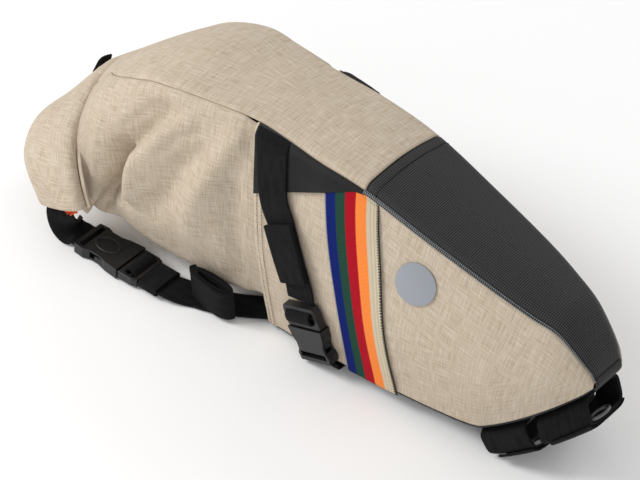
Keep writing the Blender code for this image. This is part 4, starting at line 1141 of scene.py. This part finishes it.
def ring_surface(start, lean):
    """An oval plastic ring that lies inside a seatpost strap, at its front edge on the near side."""
    low = face_place(start + GRIP_WIDTH)
    hang = face_out - face_way * lean
    centre = skin_point(BODY, low, 0) - face_way * 0.001
    centre += hang * (GRIP_DEPTH - GRIP_THICKNESS - RING_BAR * 1.3)
    centre.y = skin_point(BODY, low, 1.0).y + RING_LENGTH / 2 + GRIP_THICKNESS * 1.4

    def surface(along, around):
        angle = 2 * math.pi * along
        turn = 2 * math.pi * around
        long = RING_LENGTH / 2 + RING_BAR * math.cos(turn)
        wide = RING_LENGTH * 0.32 + RING_BAR * math.cos(turn)
        level = Vector((0, long * math.sin(angle), 0))
        return centre + level + face_way * wide * math.cos(angle) + hang * RING_BAR * math.sin(turn)
    return surface


ring_look = moulded("ring_grey", (0.085, 0.085, 0.088), 0.35, 0.5, 1500.0)
for index, label in enumerate(("lower", "upper")):
    surface = ring_surface(GRIP_START + index * GRIP_SPACING, GRIP_LEAN * index)
    ring = cloth_grid(surface, 72, 14, closed=True)
    dress(f"ring_{label}", ring, ring_look, "ring", f"strap_ring_{label}")

# BUCKLE DETAILS
# A raised oval rim on each rear socket, and the strap's turn over the ladder bar of each buckle.
RIM_LONG = 0.0105
RIM_WIDE = 0.0072


def rim_surface(along, around):
    """A thin raised rim, oval, on the rear socket's upper face."""
    angle = 2 * math.pi * along
    turn = 2 * math.pi * around
    reach = 1 + 0.11 * math.cos(turn)
    centre = origin + rear_way * BUCKLE_LENGTH * 0.50
    ahead = rear_way * (RIM_LONG * math.cos(angle) * reach)
    aside = side_way * (RIM_WIDE * math.sin(angle) * reach)
    return centre + ahead + aside + up_way * (BUCKLE_THICKNESS / 2 + 0.0008 * math.sin(turn))


both_sides("oval_rim", cloth_grid(rim_surface, 72, 10, closed=True), plastic, "buckle", None)


def ladder_turn(name, bar, ahead, up, level, places):
    """Webbing that comes up, over the ladder bar and down again, by (ahead, up) places."""
    stops = [(bar + ahead * forward + up * rise, level) for forward, rise in places]
    webbing_pair(name, band(stops, WEBBING_WIDTH * 0.96, 30), None)


ladder_turn(
    "rear_turn", origin + rear_way * (BUCKLE_LENGTH + LADDER_LENGTH * 0.56), rear_way, up_way, side_way,
    ((0.0062, -0.0010), (0.0040, 0.0052), (0, 0.0066), (-0.0040, 0.0052), (-0.0060, -0.0010)),
)
ladder_turn(
    "side_turn", socket_origin + buckle_way * (SIDE_BUCKLE_LENGTH + LADDER_LENGTH * 0.52),
    buckle_way, buckle_face, buckle_across,
    ((0.0058, -0.0010), (0.0036, 0.0050), (0, 0.0062), (-0.0036, 0.0050), (-0.0058, -0.0010)),
)

# SEAMS AND STITCHES
# A strip of painted shade under the seam above each side panel, the speckled tape between the black
# and tan panels, and the stitch rows: two along each wing's hem and one beside the black panel's end.


def under_seam(first, last, ways, lift):
    """The surface of a strip that follows the seam above a side panel."""
    def surface(along, around):
        place = first + (last - first) * along
        return above(place, body_seam(place) + ways[0] + (ways[1] - ways[0]) * around, lift)
    return surface


# Painted shade: a dark brown strip set just under the skin, which shows in the gap of the seam above each
# side panel.
seam_shade_look = two_tone("seam_shadow", 0.95, 0.05, 500.0, (0.050, 0.038, 0.026), (0.110, 0.085, 0.060))[0]
seam = cloth_grid(under_seam(SEAM_PLACE, WING_PLACE, (-0.025, 0.030), -0.0011), 60, 6)
both_sides("body_seam", seam, seam_shade_look, "tan", None, wall=0.0004)
speckled = dotted("speckled_tape", (0.010, 0.011, 0.012), (0.260, 0.275, 0.285), 0.0030)
piping = cloth_grid(under_seam(0.0, SEAM_PLACE + 0.02, (-0.026, 0.026), 0.0005), 160, 6)
both_sides("black_piping", piping, speckled, "binding", None, wall=0.0010)


def stitch_row(name, place, first_way, last_way, count, height, slant, length, material, slot):
    """Short raised stitches across the body at a place, slanted in turn to one side and the other."""
    build = bmesh.new()
    for step in range(count):
        way = first_way + (last_way - first_way) * (step + 0.5) / count
        face = skin_normal(BODY, place, way)
        forward = (skin_point(BODY, place, way + 0.01) - skin_point(BODY, place, way - 0.01)).normalized()
        tilt = slant if step % 2 else -slant
        run = (forward + face.cross(forward) * tilt).normalized()
        matrix = Matrix((run * length, face.cross(run).normalized() * STITCH_WIDTH, face * STITCH_RISE))
        matrix = matrix.transposed().to_4x4()
        matrix.translation = above(place, way, height)
        bmesh.ops.create_icosphere(build, subdivisions=1, radius=0.55, matrix=matrix)
    both_sides(name, build, material, slot, None)


STITCH_WIDTH = 0.00055
STITCH_RISE = 0.00045
thread = two_tone("hem_thread", 0.8, 0.2, 900.0, (0.150, 0.105, 0.065), (0.300, 0.225, 0.150),
                  detail=2.0, where="Object")[0]
for name, inset in (("outer", 0.075), ("inner", 0.175)):
    stitch_row(f"{name}_hem_stitches", WING_PLACE - inset, 1.03, 1.96, 62, 0.0009, 0.5, 0.0022,
               thread, "tan")
stitch_row("nose_seam_stitches", SEAM_PLACE - 0.16, 2.02, 3.00, 22, 0.0002, 0, 0.0018,
           black_webbing, "textured")

# CAMERA
# A long lens at the photograph's angle to the pack, which lies with its nose a little up.
CAMERA_AZIMUTH = math.radians(40.8)
CAMERA_ELEVATION = math.radians(37.5)
CAMERA_DISTANCE = 1.5
CAMERA_TARGET = Vector((-0.15595, -0.02705, 0.07805))
to_right = Vector((math.cos(CAMERA_AZIMUTH), math.sin(CAMERA_AZIMUTH), 0))
to_eye = Vector((
    math.sin(CAMERA_AZIMUTH) * math.cos(CAMERA_ELEVATION),
    -math.cos(CAMERA_AZIMUTH) * math.cos(CAMERA_ELEVATION),
    math.sin(CAMERA_ELEVATION),
))
to_top = to_eye.cross(to_right)
camera_place = Matrix((to_right, to_top, to_eye)).transposed().to_4x4()
camera_place.translation = CAMERA_TARGET + to_eye * CAMERA_DISTANCE
camera_data = bpy.data.cameras.new("camera")
camera_data.lens = 2100 / 640 * 36
camera_data.sensor_width = 36
camera = bpy.data.objects.new("camera", camera_data)
camera.matrix_world = SET_DOWN @ camera_place
bpy.context.collection.objects.link(camera)
bpy.context.scene.camera = camera

# LIGHT AND FLOOR
# Soft studio light from high on the left and a weaker one from the camera's side, over a pale floor.
floor_shape = bmesh.new()
bmesh.ops.create_grid(floor_shape, x_segments=1, y_segments=1, size=3)
floor_mesh = bpy.data.meshes.new("floor")
floor_shape.to_mesh(floor_mesh)
floor_shape.free()
floor = bpy.data.objects.new("floor", floor_mesh)
floor.location.z = -0.0003
bpy.context.collection.objects.link(floor)
floor_look = bpy.data.materials.new("floor")
floor_look.use_nodes = True
floor_look.node_tree.nodes["Principled BSDF"].inputs["Base Color"].default_value = (0.95, 0.95, 0.95, 1)
floor_look.node_tree.nodes["Principled BSDF"].inputs["Roughness"].default_value = 0.9
floor_mesh.materials.append(floor_look)

for name, spot, size, power in (
    ("key", (-1.3, -1.0, 1.25), 0.8, 27.0),
    ("fill", (1.3, -1.6, 0.9), 1.2, 9.0),
    ("back", (0.3, 1.6, 1.2), 1.0, 8.0),
):
    light_data = bpy.data.lights.new(name, "AREA")
    light_data.size = size
    light_data.energy = power
    light = bpy.data.objects.new(name, light_data)
    light.location = spot
    light.rotation_euler = (Vector((0, 0, 0.05)) - Vector(spot)).to_track_quat("-Z", "Y").to_euler()
    bpy.context.collection.objects.link(light)
world = bpy.data.worlds.new("studio")
world.use_nodes = True
world.node_tree.nodes["Background"].inputs["Color"].default_value = (1, 1, 1, 1)
world.node_tree.nodes["Background"].inputs["Strength"].default_value = 0.55
bpy.context.scene.world = world
bpy.context.scene.view_settings.view_transform = "Standard"
